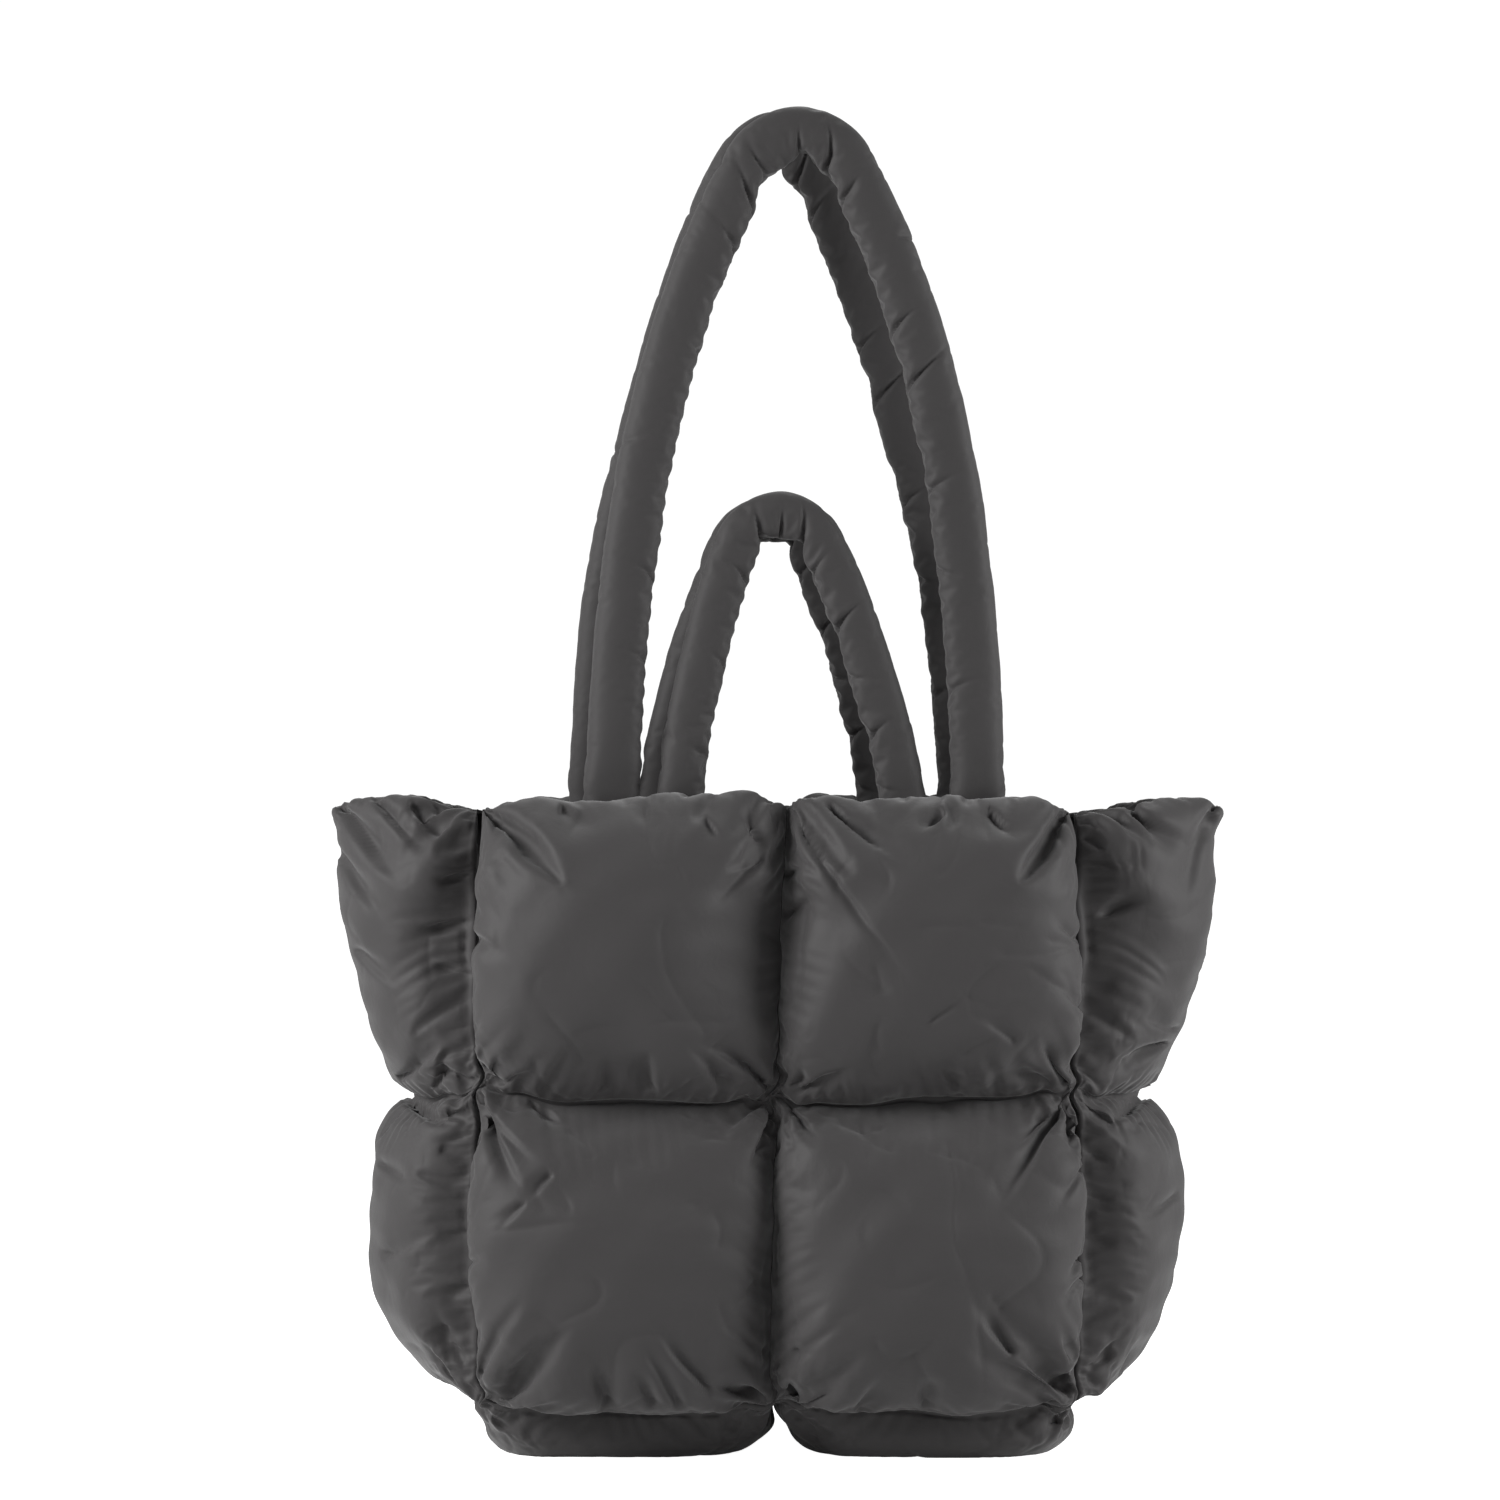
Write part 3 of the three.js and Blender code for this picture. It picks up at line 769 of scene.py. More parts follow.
def handle_net(kind_name, face, side, seed, fineness):
    """The net of a handle: a strip from its inner seam round the padding and back to the seam."""
    kind = HANDLES[kind_name]
    *_, length = handle_frames(kind, face, side, 2)
    rings = round(length / HANDLE_STEP) * fineness + 1
    centres, inward, depthwise, _ = handle_frames(kind, face, side, rings)
    along = np.linspace(0, 1, rings)
    from_foot = np.minimum(along, 1 - along) * length
    flat = np.maximum(0, 1 - from_foot / FOOT_TAPER) ** 2
    width = kind.width + FOOT_WIDENING * flat
    thickness = kind.thickness + (FOOT_THICKNESS - kind.thickness) * flat
    pinch = sum(depth * bell((along - at) * length, long) for at, depth, long in PINCHES[kind_name])
    angle = np.linspace(0, 2 * math.pi, ROUND_SEGMENTS * fineness + 1)[None]
    toward_seam = np.cos(angle)
    seam_distance = np.minimum(angle, 2 * math.pi - angle)
    groove = 1 - SEAM_GROOVE * bell(seam_distance, GROOVE_REACH)
    pinched = (1 - pinch[:, None] * np.maximum(0, toward_seam) ** 2) * groove
    on_cloth = (along[:, None] * length, HANDLE_RADIUS * seam_distance)
    lumps = 1 + HANDLE_UNEVEN * waves(seed, HANDLE_LUMPS)(*on_cloth)
    radial_in = (width[:, None] / 2) * toward_seam * pinched * lumps
    radial_deep = (thickness[:, None] / 2) * np.sin(angle) * lumps
    teeth = waves(seed + 1, SERRATION)(along[:, None] * length, 0 * angle)
    radial_in = radial_in + teeth * bell(seam_distance, SERRATION_REACH)
    goal = centres[:, :, None] + inward[:, :, None] * radial_in + depthwise[:, :, None] * radial_deep

    free = np.ones(goal.shape[1:], np.float32)
    free[[0, -1]] = 0
    free[:, [0, -1]] = 0
    bent = np.clip(length / (rings - 1) / lengths_of(np.gradient(goal, axis=1)), 1, BEND_SLACK)
    slack_up = bent * (1 + HANDLE_SLACK + SEAM_SLACK * bell(seam_distance, SLACK_REACH))
    slack_across = np.full_like(slack_up, 1 + HANDLE_SLACK)
    rest_centre = goal.mean(2, keepdims=True).astype(np.float32)

    def keep(points):
        points += (rest_centre - points.mean(2, keepdims=True)) * (CENTRING * free)

    outwards = goal - centres[:, :, None]
    turned = np.sign((sheet_normals(goal) * outwards).sum())
    ripple = np.random.default_rng(seed + fineness).normal(0, RIPPLE / fineness, free.shape)
    return SimpleNamespace(
        goal=goal, free=free, slack_across=slack_across, slack_up=slack_up, blow=turned,
        ripple=unit(outwards) * ripple * free, keep=keep,
        length=length, centres=centres[:, :, None], depthwise=depthwise[:, :, None], width=kind.width,
        flat_at=HANDLE_FLAT * thickness[:, None] / 2,
    )


def fold_handle(kind_name, seed, net, points):
    """Presses the listed folds and fine creases into a settled handle."""
    fields = (points, net.centres, net.depthwise, net.flat_at, net.free)
    points, centres, depthwise, flat_at, free = (denser_up(field, 1) for field in fields)
    free = np.minimum(1, free)
    deep = ((points - centres) * depthwise).sum(0)
    points = points + depthwise * (flat_at * np.tanh(deep / flat_at) - deep) * free
    inward = unit(centres - points)
    along = np.linspace(0, 1, points.shape[1])[:, None]
    angle = np.linspace(0, 2 * math.pi, points.shape[2])[None]
    depth = np.zeros_like(points[0])
    for at, middle, spread, wide, deep, slant in HANDLE_FOLDS[kind_name]:
        beside = angle - math.radians(middle)
        beyond = (along - at) * net.length + slant * beside * net.width / 2
        beyond = np.abs(np.where(beyond < 0, beyond / FOLD_STEEPNESS, beyond)) / wide
        beside = (beside / math.radians(spread)) ** 2
        depth += HANDLE_STRENGTH * deep * np.exp(-beyond ** HANDLE_FOLD_POWER - beside)
    x, y = np.broadcast_arrays(angle * net.width / 2, along * net.length)
    depth += HANDLE_CREASES * creases(seed + 9, x, y)
    return points + inward * depth * free


# Folds, as seen from the front in millimetres: X and height where a fold starts and where it runs out,
# its width at either end (a negative one turns its steep side to the left) and its depth.
FRONT_FOLDS = (
    (-6, 181, -41, 209, 1.6, 6, 3.4),
    (-28, 182, -44, 209, 3, 6, 1.8),
    (-60, 181, -64, 200, 3, -7, 1.6),
    (-84, 180, -80, 197, 2.5, 6, 1.3),
    (-142, 180, -150, 200, 1.6, -4, 4.2),
    (-141, 180, -132, 198, 1.4, 4, 2.6),
    (-138, 180, -112, 190, 1.6, 5, 1.8),
    (-153, 258, -128, 243, 2.5, 6, 1.8),
    (-134, 294, -116, 273, 2, 5, 0.8),
    (-8, 303, -15, 318, 1.5, 4, 2.6),
    (-6, 292, -36, 264, 2.5, 7, 1.5),
    (-34, 311, -26, 296, 2, 6, 1.4),
    (-104, 316, -84, 304, 2.5, 7, 1.2),
    (9, 311, 68, 226, 1.4, 4, 1.3),
    (28, 315, 70, 287, 1.6, -6, 2.4),
    (74, 215, 94, 232, 1.2, 3, 0.7),
    (104, 316, 117, 303, 1.2, 4, 1.6),
    (80, 314, 66, 302, 1.6, 5, 2.0),
    (148, 252, 132, 267, 1.2, 3.5, 1.6),
    (149, 219, 138, 230, 1.2, 3.5, 1.4),
    (4, 282, 16, 293, 1.4, 4, 1.3),
    (4, 266, 20, 275, 1.4, 4, 1.3),
    (10, 179, 40, 193, 1.6, 5, 2.6),
    (6, 180, 12, 191, 1.2, 3, 2.4),
    (139, 180, 126, 206, 1.6, 6, 3.4),
    (143, 181, 150, 198, 1.4, 4, 3.4),
    (130, 180, 100, 190, 1.6, 6, 1.8),
    (145, 182, 147, 204, 1.4, 4, 2.0),
    (112, 203, 93, 221, 2.5, 6, 1.0),
    (86, 181, 78, 196, 2.5, 6, 1.3),
    (-144, 171, -121, 127, 1.6, 5, 3.4),
    (-142, 172, -149, 144, 1.4, 4, 2.8),
    (-109, 139, -124, 126, 1.8, 4, 1.4),
    (-138, 165, -112, 138, 1.6, 5, 1.4),
    (-123, 125, -135, 113, 1.5, 4, 1.0),
    (-118, 172, -98, 162, 1.6, 5, 1.6),
    (-3, 168, -11, 138, 1.4, -4, 2.8),
    (-8, 172, -30, 160, 1.6, 5, 1.6),
    (-136, 27, -106, 70, 3, 9, 2.6),
    (-84, 27, -92, 60, 3.5, 9, 3.0),
    (-62, 28, -70, 48, 2.5, 6, 1.6),
    (-34, 36, -62, 74, 1.8, 6, 2.6),
    (-50, 29, -66, 68, 3, 7, 1.8),
    (-9, 29, -36, 38, 1.8, 5, 3.4),
    (-153, 52, -146, 36, 1.3, 3, 1.6),
    (-150, 96, -138, 104, 1.3, 4, 1.0),
    (139, 172, 98, 117, 1.6, 8, 3.2),
    (130, 168, 112, 152, 1.3, 4, 1.8),
    (143, 172, 147, 140, 1.5, 4, 3.0),
    (150, 140, 131, 122, 1.3, 4, 1.2),
    (149, 98, 140, 86, 1.2, 3, 1.4),
    (148, 88, 138, 78, 1.2, 3, 1.2),
    (141, 34, 104, 61, 1.8, 6, 2.6),
    (146, 44, 128, 30, 1.6, 4, 1.3),
    (112, 54, 92, 84, 2, 7, 2.4),
    (128, 36, 86, 60, 1.8, 7, 1.8),
    (141, 50, 139, 68, 1.2, 3, 1.6),
    (8, 27, 34, 43, 1.8, 6, 3.0),
    (4, 28, 9, 44, 1.4, 4, 2.6),
    (40, 27, 52, 42, 2.5, 7, 1.4),
    (72, 27, 70, 46, 3, 7, 1.6),
    (8, 170, 22, 152, 1.6, 5, 1.8),
)
# The same on the front half of either gusset, with X away from the bag's middle
LEFT_GUSSET_FOLDS = (
    (218, 323, 211, 284, 7, 8, -1.3),
    (214, 314, 176, 272, 2, 9, 3.4),
    (196, 317, 168, 290, 1.8, 7, 2.6),
    (178, 316, 158, 300, 1.6, 6, 2.2),
    (216, 292, 182, 250, 2.5, 9, 2.6),
    (150, 262, 186, 254, 1.4, 6, 2.6),
    (150, 285, 170, 278, 1.4, 5, 1.8),
    (150, 236, 176, 240, 1.4, 5, 1.8),
    (205, 246, 178, 226, 2, 7, 1.6),
    (184, 184, 160, 204, 1.6, 7, 2.4),
    (166, 181, 160, 200, 1.5, -5, 1.8),
    (150, 184, 172, 190, 1.5, 5, 2.4),
    (150, 210, 168, 206, 1.4, 5, 1.4),
    (186, 173, 158, 160, 1.5, 6, 2.8),
    (150, 170, 176, 164, 1.4, 5, 2.4),
    (150, 158, 170, 152, 1.4, 5, 1.4),
    (196, 140, 176, 128, 2, 7, 1.4),
    (192, 96, 166, 112, 2, 7, 1.6),
    (152, 48, 172, 76, 1.6, 7, 2.2),
    (158, 38, 180, 62, 1.6, 6, 1.8),
    (150, 110, 166, 106, 1.3, 5, 1.4),
    (150, 84, 164, 80, 1.3, 5, 1.4),
)
RIGHT_GUSSET_FOLDS = (
    (218, 323, 211, 284, 7, 8, -1.3),
    (176, 317, 213, 290, 2, 8, 3.2),
    (214, 312, 196, 262, 2, 9, 2.2),
    (160, 262, 186, 272, 1.6, -7, 1.8),
    (190, 198, 158, 183, 1.5, 6, 3.2),
    (196, 206, 174, 214, 1.8, 7, 1.6),
    (150, 300, 166, 292, 1.4, 5, 1.4),
    (150, 232, 168, 228, 1.4, 5, 1.4),
    (188, 176, 156, 162, 1.5, 6, 2.6),
    (150, 172, 180, 156, 1.4, 6, 2.2),
    (150, 150, 166, 142, 1.3, 5, 1.8),
    (150, 128, 164, 124, 1.3, 5, 1.6),
    (150, 108, 166, 106, 1.3, 5, 1.6),
    (196, 124, 172, 116, 2, 7, 1.2),
    (152, 46, 176, 66, 1.6, 7, 2.0),
    (170, 40, 182, 60, 1.6, 5, 1.8),
)
BASE_FOLDS = (
    (10, 22, 36, 4, 2, 7, 1.8),
    (144, 26, 128, 6, 1.8, 5, 3.4),
    (134, 28, 108, 12, 1.6, 6, 2.6),
    (144, 18, 138, 4, 1.4, 3, 2.4),
    (-12, 22, -30, 6, 2, 6, 1.2),
    (-140, 22, -124, 8, 1.6, 5, 1.2),
)


def mirrored(folds):
    return tuple((-start_x, start_z, -end_x, end_z, width, -end_width, depth)
                 for start_x, start_z, end_x, end_z, width, end_width, depth in folds)


# The directions in which neighbouring panels press on each other, and how far the contact is pushed in
# the middle of each puff: the front and back puffs spread over the gussets and the base
CORNER_LEAN = (0.6, 0.8, 0.0)
CORNER_PUSH = 5.5
FOOT_LEAN = (0.0, 0.75, -0.66)
FOOT_PUSH = 6.0
SIDE_FOOT_LEAN = (0.75, 0.0, -0.66)
MID_SAG = (0, 0, -5.0)
NO_PUSH = (0, 0, 0)


def foot_openings(face):
    """How far the rim's sheets part round the handles' feet, at places along X."""
    centres = [
        kind.centres[face][0] + kind.spread * share * kind.arch[face][0]
        for kind in HANDLES.values() for share in (-1, 1)
    ]
    half_width = (HANDLES["long"].width + FOOT_WIDENING) / 2

    def opening(x):
        beyond = np.min([np.abs(x - centre) for centre in centres], axis=0) - half_width
        return (FOOT_THICKNESS / 2 + TOUCH_GAP) * np.clip(1 - beyond / FEET_PART_BEYOND, 0, 1) ** 2
    return opening


def main_panel(face, side, seed):
    corner, lower = ((x, side * y, z) for x, y, z in (CORNER_LEAN, FOOT_LEAN))
    return SimpleNamespace(
        name=f"{face}_panel", surface=panel_surface(face, side), facing=panel_surface(face, side),
        side=side, columns=2, rows=2,
        width=PANEL_WIDTH, height=RIM_SEAM_HEIGHT - BASE_SEAM_HEIGHT, fill=PANEL_FILL,
        side_powers=PANEL_POWERS, up_powers=[TUCKED_POWERS, HANGING_POWERS], seed=seed, floor=None,
        folds={side: FRONT_FOLDS if side < 0 else mirrored(FRONT_FOLDS)},
        feet=foot_openings(face), crease=0.9, slack=0.007, side_slack=0.003, end_slack=0.007,
        edges={
            "left": ((-corner[0], corner[1], 0), (-CORNER_PUSH, 0, 0)),
            "right": (corner, (CORNER_PUSH, 0, 0)),
            "bottom": (lower, (0, 0, -FOOT_PUSH)),
            "top": (None, NO_PUSH),
        },
    )


def gusset_panel(name, side, seed):
    x, y, z = CORNER_LEAN
    front_folds, back_folds = (LEFT_GUSSET_FOLDS, RIGHT_GUSSET_FOLDS)[::-side]
    if side < 0:
        front_folds, back_folds = mirrored(front_folds), mirrored(back_folds)
    return SimpleNamespace(
        name=f"{name}_gusset", surface=gusset_surface(side, 1), facing=gusset_surface(side, 0),
        side=side, columns=1, rows=2,
        width=BASE_DEPTH, height=RIM_SEAM_HEIGHT - BASE_SEAM_HEIGHT, fill=GUSSET_FILL,
        side_powers=[SIDE_POWERS], up_powers=[SIDE_POWERS, FALLING_POWERS],
        seed=seed, floor=None, feet=None, folds={-1: front_folds, 1: back_folds},
        crease=0.45, slack=0.012, side_slack=0.05, end_slack=0.012,
        edges={
            "left": ((side * x, -y, z), (side * CORNER_PUSH, 0, 0)),
            "right": ((side * x, y, z), (side * CORNER_PUSH, 0, 0)),
            "bottom": ((side * SIDE_FOOT_LEAN[0], 0, SIDE_FOOT_LEAN[2]), NO_PUSH),
            "top": (None, NO_PUSH),
        },
    )


def base_panel(seed):
    return SimpleNamespace(
        name="base_panel", surface=base_surface, facing=base_surface, side=1, columns=2, rows=1,
        width=PANEL_WIDTH, height=BASE_DEPTH, fill=BASE_FILL,
        side_powers=BASE_POWERS, up_powers=[SIDE_POWERS], seed=seed, floor=0.0, feet=None,
        folds={-1: BASE_FOLDS, 1: mirrored(BASE_FOLDS)},
        crease=0.6, slack=0.015, side_slack=0.02, end_slack=0.025,
        edges={
            "left": ((-SIDE_FOOT_LEAN[0], 0, SIDE_FOOT_LEAN[2]), NO_PUSH),
            "right": (SIDE_FOOT_LEAN, NO_PUSH),
            "bottom": ((0, -FOOT_LEAN[1], FOOT_LEAN[2]), (0, 0, -FOOT_PUSH)),
            "top": (FOOT_LEAN, (0, 0, -FOOT_PUSH)),
        },
    )


def grid_quads(rows, columns, first=0):
    """The quads of a grid of points, by their numbers."""
    numbers = first + np.arange(rows * columns).reshape(rows, columns)
    corners = (numbers[:-1, :-1], numbers[:-1, 1:], numbers[1:, 1:], numbers[1:, :-1])
    return np.stack(corners, -1).reshape(-1, 4)


def rim_of(rows, columns, first=0):
    """The numbers of a grid's outer points, in order round it."""
    numbers = first + np.arange(rows * columns).reshape(rows, columns)
    return np.concatenate((numbers[0, :-1], numbers[:-1, -1], numbers[-1, :0:-1], numbers[:0:-1, 0]))


def thread_map(points):
    """Lengths across and up a sheet, for the weave."""
    x = running(lengths_of(np.diff(points, axis=2)).mean(0))
    y = running(lengths_of(np.diff(points, axis=1)).mean(1))
    return np.stack(np.meshgrid(x, y), -1).reshape(-1, 2) * METRE


# Nothing sewn is quite straight: slow sways through the whole bag, as a share of their lengths, and
# tight bends of the seams where they cross, at places seen from the front
SWAY_LENGTHS = (18, 23, 28, 33, 39, 46, 54, 62, 70)
SWAY = 0.017
SWAY_SEED = 77
HANDLES_CALMER = 0.8
CALMER_OVER = 60.0
KNOTS = ((-145, 178), (0, 178), (145, 178), (-145, 26), (0, 26), (145, 26))
KNOT_BEND = 2.6
KNOT_REACH = 15.0
KNOT_LENGTH = 21.0
KNOT_PHASE = 0.6


def crooked(points):
    """The points of a piece, bent with the bag's sways and the knots of its seams."""
    draw = np.random.default_rng(SWAY_SEED)
    push = np.zeros_like(points)
    for length in SWAY_LENGTHS:
        heading, direction = unit(draw.normal(size=3)), unit(draw.normal(size=3))
        phase = 2 * math.pi * (points @ heading / length + draw.uniform())
        push += SWAY * length * np.sin(phase)[:, None] * direction
    push *= 1 - HANDLES_CALMER * np.clip((points[:, 2:] - RIM_SEAM_HEIGHT) / CALMER_OVER, 0, 1)
    for x, z in KNOTS:
        beside, above = points[:, 0] - x, points[:, 2] - z
        near = KNOT_BEND * np.exp(-(beside ** 2 + above ** 2) / KNOT_REACH ** 2)
        push[:, 0] += near * np.sin(2 * math.pi * above / KNOT_LENGTH)
        push[:, 2] += near * np.sin(2 * math.pi * beside / KNOT_LENGTH + KNOT_PHASE)
    push[:, 2] *= np.clip(points[:, 2] / BASE_SEAM_HEIGHT, 0, 1)
    return points + push


def make_piece(name, points, faces, weave, material):
    """A closed mesh of points in millimetres that stands for the frame's node of that name."""
    triangles = np.array([(f[0], f[k], f[k + 1]) for f in faces for k in range(1, len(f) - 1)])
    a, b, c = (points[triangles[:, k]] for k in range(3))
    if (a * np.cross(b, c)).sum() < 0:
        faces = [face[::-1] for face in faces]
    mesh = bpy.data.meshes.new(f"{name}_cloth")
    mesh.from_pydata((crooked(points) * METRE).tolist(), [], faces)
    mesh.polygons.foreach_set("use_smooth", [True] * len(mesh.polygons))
    corners = np.empty(len(mesh.loops), np.int32)
    mesh.loops.foreach_get("vertex_index", corners)
    layer = mesh.uv_layers.new(name="threads")
    layer.data.foreach_set("uv", weave[corners].astype(np.float32).ravel())
    mesh.materials.append(material)
    mesh.update()
    piece = bpy.data.objects.new(f"{name}_cloth", mesh)
    bpy.context.scene.collection.objects.link(piece)
    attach(piece, "root")
    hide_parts(name)


def make_panel(name, outer, lining, material):
    """A panel of an outer sheet, a lining sheet with half as many points, and their sewn edge."""
    _, rows, columns = outer.shape
    _, low_rows, low_columns = lining.shape
    count = rows * columns
    points = np.concatenate((outer.reshape(3, -1).T, lining.reshape(3, -1).T))
    faces = grid_quads(rows, columns).tolist()
    faces += grid_quads(low_rows, low_columns, count)[:, ::-1].tolist()
    fine, coarse = rim_of(rows, columns), rim_of(low_rows, low_columns, count)
    ratio = len(fine) // len(coarse)
    for k in range(len(coarse)):
        here, there = int(coarse[k]), int(coarse[(k + 1) % len(coarse)])
        steps = [int(fine[(ratio * k + j) % len(fine)]) for j in range(ratio + 1)]
        middle = ratio // 2
        faces += [(steps[j + 1], steps[j], here) for j in range(middle)]
        faces.append((steps[middle], here, there))
        faces += [(steps[j + 1], steps[j], there) for j in range(middle, ratio)]
    weave = np.concatenate((thread_map(outer), thread_map(lining)))
    make_piece(name, points, faces, weave, material)


def make_handle(name, strip, material):
    """A handle's tube, closed along its seam and at its feet."""
    _, rings, columns = strip.shape
    around = columns - 1
    points = strip[:, :, :-1].reshape(3, -1).T
    points = np.concatenate((points, strip[:, [0, -1]].mean(2).T))
    numbers = np.arange(rings * around).reshape(rings, around)
    beside = np.roll(numbers, -1, axis=1)
    faces = np.stack((numbers[:-1], beside[:-1], beside[1:], numbers[1:]), -1).reshape(-1, 4).tolist()
    first, last = rings * around, rings * around + 1
    faces += [(int(beside[0, k]), int(numbers[0, k]), first) for k in range(around)]
    faces += [(int(numbers[-1, k]), int(beside[-1, k]), last) for k in range(around)]
    weave = thread_map(strip).reshape(rings, columns, 2)[:, :-1].reshape(-1, 2)
    weave = np.concatenate((weave, weave[[0, -1]]))
    make_piece(name, points, faces, weave, material)


# The nylon. Colours are shares of the light that the cloth gives back, DULLEST and GLOSSIEST are added to
# its roughness, and scales are larger for finer patterns.
SHELL_DARK = (0.0338, 0.0315, 0.032)
SHELL_LIGHT = (0.0412, 0.0387, 0.0392)
SHEEN = 0.22
SHEEN_ROUGHNESS = 0.5
SPECULAR = 0.33
TONE_SCALE = 9.0
DULLEST = 0.05
GLOSSIEST = -0.04
WEAVE_SCALE = 620.0
WEAVE_HEIGHT = 0.00002
WEAVE_STRENGTH = 0.5
CRINKLE_SCALE = 95.0
CRINKLE_TWIST = 0.8
CRINKLE_STRENGTH = 0.6


def add_node(tree, kind, **values):
    """A new shader node of that kind, with these values on the sockets of these names."""
    node = tree.nodes.new(f"ShaderNode{kind}")
    for socket, value in values.items():
        node.inputs[socket.replace("_", " ")].default_value = value
    return node


def nylon(name, tone_share, roughness, crinkle):
    """A smooth dense nylon: a fine plain weave, faint crinkles and a soft sheen."""
    material = bpy.data.materials.new(name)
    material.use_nodes = True
    tree = material.node_tree
    shader = tree.nodes["Principled BSDF"]
    shader.inputs["Sheen Weight"].default_value = SHEEN
    shader.inputs["Sheen Roughness"].default_value = SHEEN_ROUGHNESS
    shader.inputs["Specular IOR Level"].default_value = SPECULAR
    place = add_node(tree, "TexCoord").outputs["Object"]

    tone = add_node(tree, "TexNoise", Scale=TONE_SCALE, Detail=3.0)
    tree.links.new(place, tone.inputs["Vector"])
    colour = add_node(tree, "Mix")
    colour.data_type = "RGBA"
    for socket, shade in (("A", SHELL_DARK), ("B", SHELL_LIGHT)):
        colour.inputs[socket].default_value = (*(tone_share * part for part in shade), 1.0)
    tree.links.new(tone.outputs["Fac"], colour.inputs["Factor"])
    tree.links.new(colour.outputs["Result"], shader.inputs["Base Color"])

    polish = add_node(tree, "MapRange", To_Min=roughness + GLOSSIEST, To_Max=roughness + DULLEST)
    tree.links.new(tone.outputs["Fac"], polish.inputs["Value"])
    tree.links.new(polish.outputs["Result"], shader.inputs["Roughness"])

    crinkles = add_node(tree, "TexNoise", Scale=CRINKLE_SCALE, Detail=4.0, Distortion=CRINKLE_TWIST)
    tree.links.new(place, crinkles.inputs["Vector"])
    soft = add_node(tree, "Bump", Distance=crinkle, Strength=CRINKLE_STRENGTH)
    tree.links.new(crinkles.outputs["Fac"], soft.inputs["Height"])

    threads = add_node(tree, "UVMap")
    threads.uv_map = "threads"
    weave = add_node(tree, "Math")
    weave.operation = "ADD"
    for k, direction in enumerate(("X", "Y")):
        wave = add_node(tree, "TexWave", Scale=WEAVE_SCALE)
        wave.bands_direction = direction
        tree.links.new(threads.outputs["UV"], wave.inputs["Vector"])
        tree.links.new(wave.outputs["Fac"], weave.inputs[k])
    fine = add_node(tree, "Bump", Distance=WEAVE_HEIGHT, Strength=WEAVE_STRENGTH)
    tree.links.new(weave.outputs["Value"], fine.inputs["Height"])
    tree.links.new(soft.outputs["Normal"], fine.inputs["Normal"])
    tree.links.new(fine.outputs["Normal"], shader.inputs["Normal"])
    return material


def outer_sheet(panel):
    net, points = settle(lambda fineness: panel_net(panel, False, fineness), STAGES)
    return fold_panel(panel, net, points)


def handle_strip(handle):
    net, points = settle(lambda fineness: handle_net(*handle, fineness), STAGES)
    return fold_handle(handle[0], handle[3], net, points)


def make_bag():
    # The last number is the seed of a piece's own unevenness
    panels = [main_panel("front", -1, 90), main_panel("back", 1, 110)]
    panels += [gusset_panel("left", -1, 130), gusset_panel("right", 1, 140), base_panel(150)]
    handles = [
        ("long", "front", -1, 200), ("short", "front", -1, 210),
        ("long", "back", 1, 220), ("short", "back", 1, 230),
    ]
    with ThreadPoolExecutor(4) as pool:
        outer = [pool.submit(outer_sheet, panel) for panel in panels]
        tubes = [pool.submit(handle_strip, handle) for handle in handles]
        lining = [pool.submit(settle, lambda n, p=panel: panel_net(p, True, n), STAGES[:LINING_STAGES])
                  for panel in panels]
    shell_cloth = nylon("shell_nylon", 1.0, roughness=0.62, crinkle=0.0004)
    handle_cloth = nylon("handle_nylon", 0.9, roughness=0.66, crinkle=0.0003)
    for panel, sheet, inner in zip(panels, outer, lining):
        make_panel(panel.name, sheet.result(), inner.result()[1], shell_cloth)
    for (kind, face, *_), tube in zip(handles, tubes):
        make_handle(f"{face}_{kind}_handle", tube.result(), handle_cloth)


# The camera stands where the photo's stood: level, straight in front of the bag, a little to its left
EYE = (-0.013, -3.2, 0.344)
SENSOR = 36.0
PHOTO_PIXELS = 1500
PIXEL_AT_FRONT = 0.000487
FRONT_DEPTH = 0.05


def make_camera():
    data = bpy.data.cameras.new("photo_camera")
    data.sensor_width = SENSOR
    data.lens = SENSOR * (-EYE[1] - FRONT_DEPTH) / PIXEL_AT_FRONT / PHOTO_PIXELS
    camera = bpy.data.objects.new("photo_camera", data)
    camera.location = EYE
    camera.rotation_euler = (math.pi / 2, 0, 0)
    bpy.context.scene.collection.objects.link(camera)
    bpy.context.scene.camera = camera


# The two soft boxes and what they are turned to: place and size in metres, and power in watts
LIT_PLACE = (0.0, 0.0, 0.3)
LIGHTS = {
    "left": SimpleNamespace(place=(-1.68, -0.72, 1.05), size=0.9, power=43),
    "right": SimpleNamespace(place=(1.72, -0.45, 0.78), size=0.9, power=28),
}

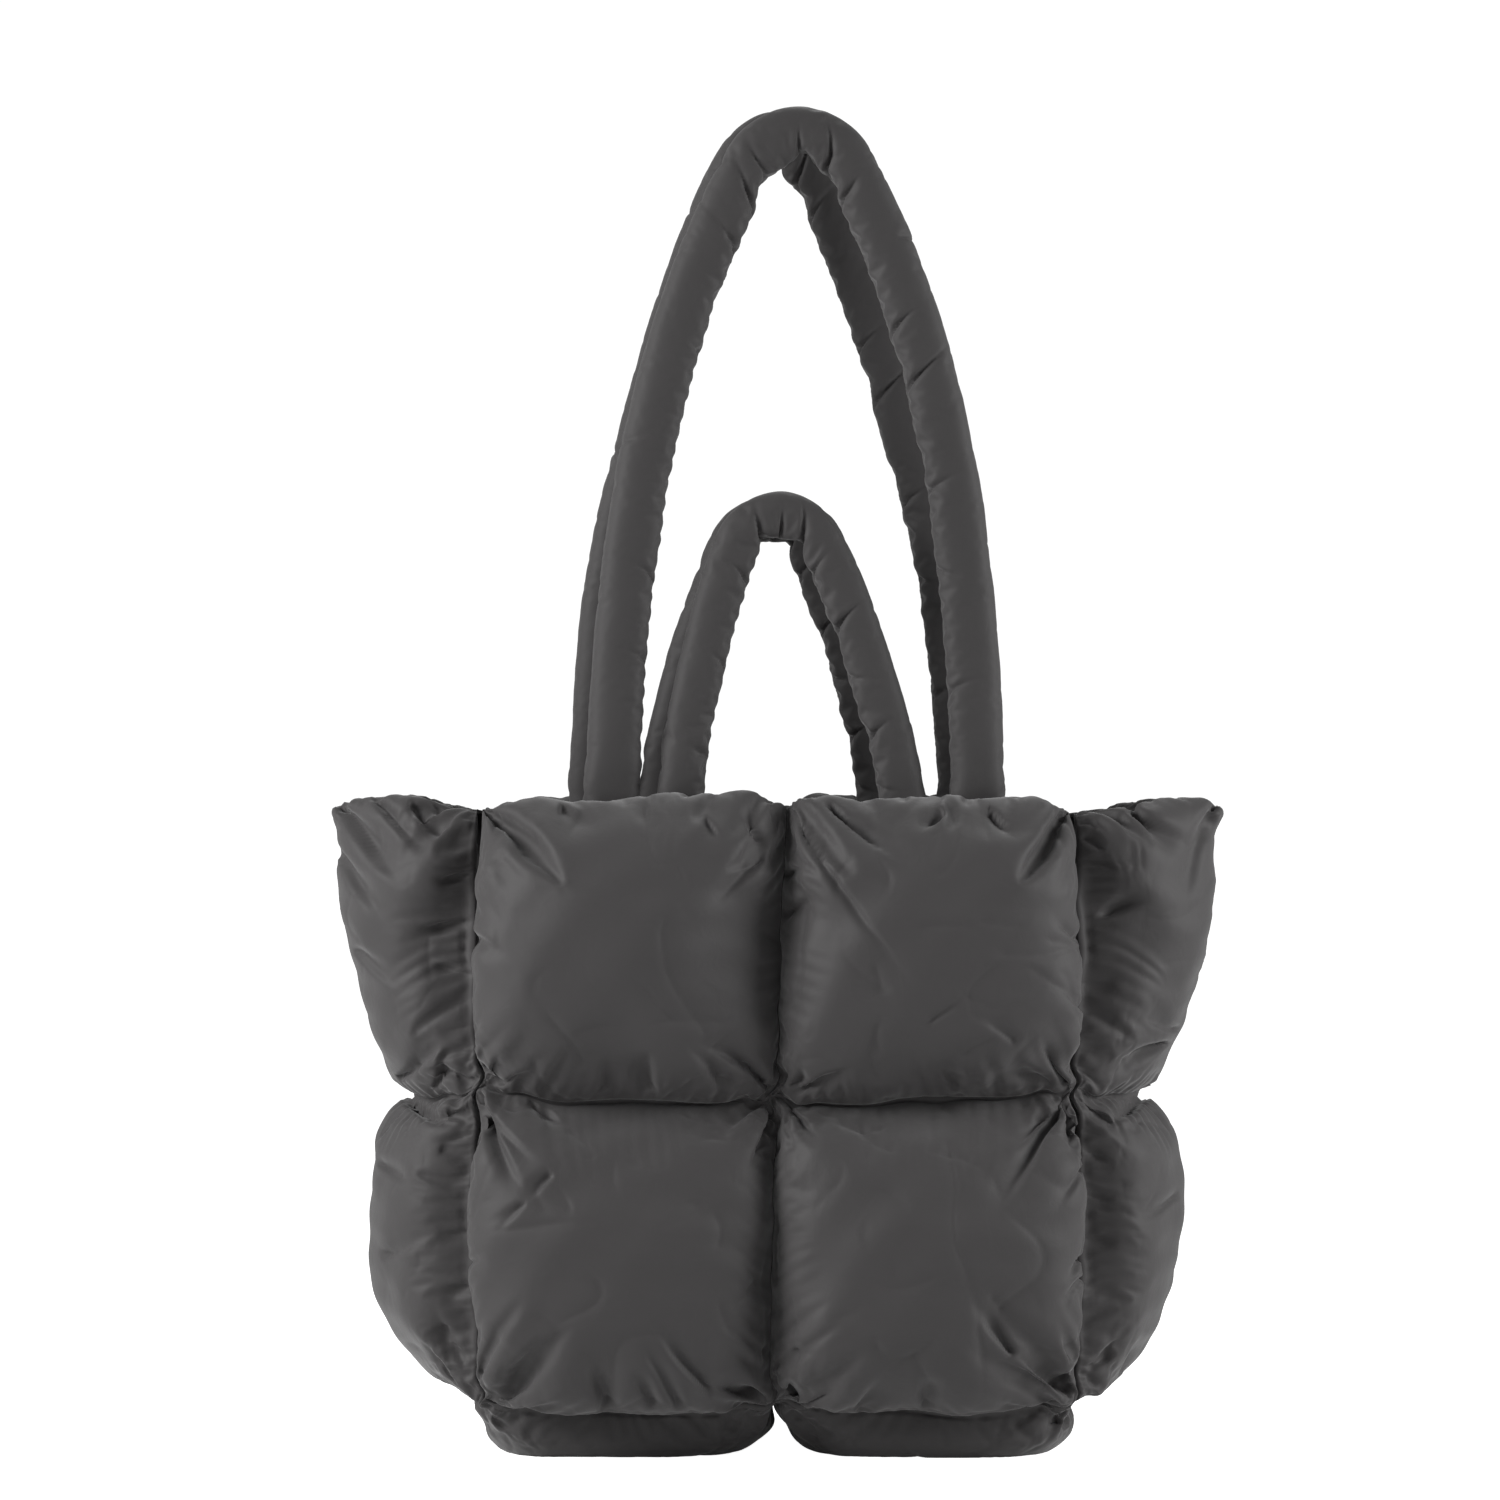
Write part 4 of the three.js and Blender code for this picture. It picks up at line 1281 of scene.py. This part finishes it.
# How bright the backdrop and the floor look, how much the backdrop lights, and the floor
BACKDROP_GLOW = 1.05
FLOOR_GLOW = 1.0
AMBIENT = 0.215
WHITE = (1.0, 1.0, 1.0, 1.0)
FLOOR_COLOUR = (0.9, 0.9, 0.9, 1.0)
FLOOR_ROUGHNESS = 0.9
FLOOR_HALF = 30.0


def soft_box(name, light):
    data = bpy.data.lights.new(name, "AREA")
    data.shape = "DISK"
    data.size = light.size
    data.energy = light.power
    box = bpy.data.objects.new(name, data)
    box.location = light.place
    x, y, z = np.array(light.place) - np.array(LIT_PLACE)
    box.rotation_euler = (math.atan2(math.hypot(x, y), z), 0, math.atan2(x, -y))
    bpy.context.scene.collection.objects.link(box)


def seen_or_lighting(tree, socket, seen, lighting):
    """Gives a backdrop one brightness to the eye and another as a source of light."""
    path = add_node(tree, "LightPath")
    strength = add_node(tree, "MapRange", To_Min=lighting, To_Max=seen)
    tree.links.new(path.outputs["Is Camera Ray"], strength.inputs["Value"])
    tree.links.new(strength.outputs["Result"], socket)


def make_stage():
    scene = bpy.context.scene
    scene.view_settings.view_transform = "Standard"
    world = bpy.data.worlds.new("studio")
    world.use_nodes = True
    background = world.node_tree.nodes["Background"]
    background.inputs["Color"].default_value = WHITE
    seen_or_lighting(world.node_tree, background.inputs["Strength"], BACKDROP_GLOW, AMBIENT)
    scene.world = world

    mesh = bpy.data.meshes.new("studio_floor")
    corners = [(FLOOR_HALF * x, FLOOR_HALF * y, 0) for x, y in ((-1, -1), (1, -1), (1, 1), (-1, 1))]
    mesh.from_pydata(corners, [], [(0, 1, 2, 3)])
    floor = bpy.data.objects.new("studio_floor", mesh)
    scene.collection.objects.link(floor)
    paint = bpy.data.materials.new("studio_floor")
    paint.use_nodes = True
    shader = paint.node_tree.nodes["Principled BSDF"]
    shader.inputs["Base Color"].default_value = FLOOR_COLOUR
    shader.inputs["Roughness"].default_value = FLOOR_ROUGHNESS
    shader.inputs["Emission Color"].default_value = WHITE
    seen_or_lighting(paint.node_tree, shader.inputs["Emission Strength"], FLOOR_GLOW, 0.0)
    mesh.materials.append(paint)

    for name, light in LIGHTS.items():
        soft_box(name, light)


make_camera()
make_stage()
make_bag()

bpy.context.view_layer.update()
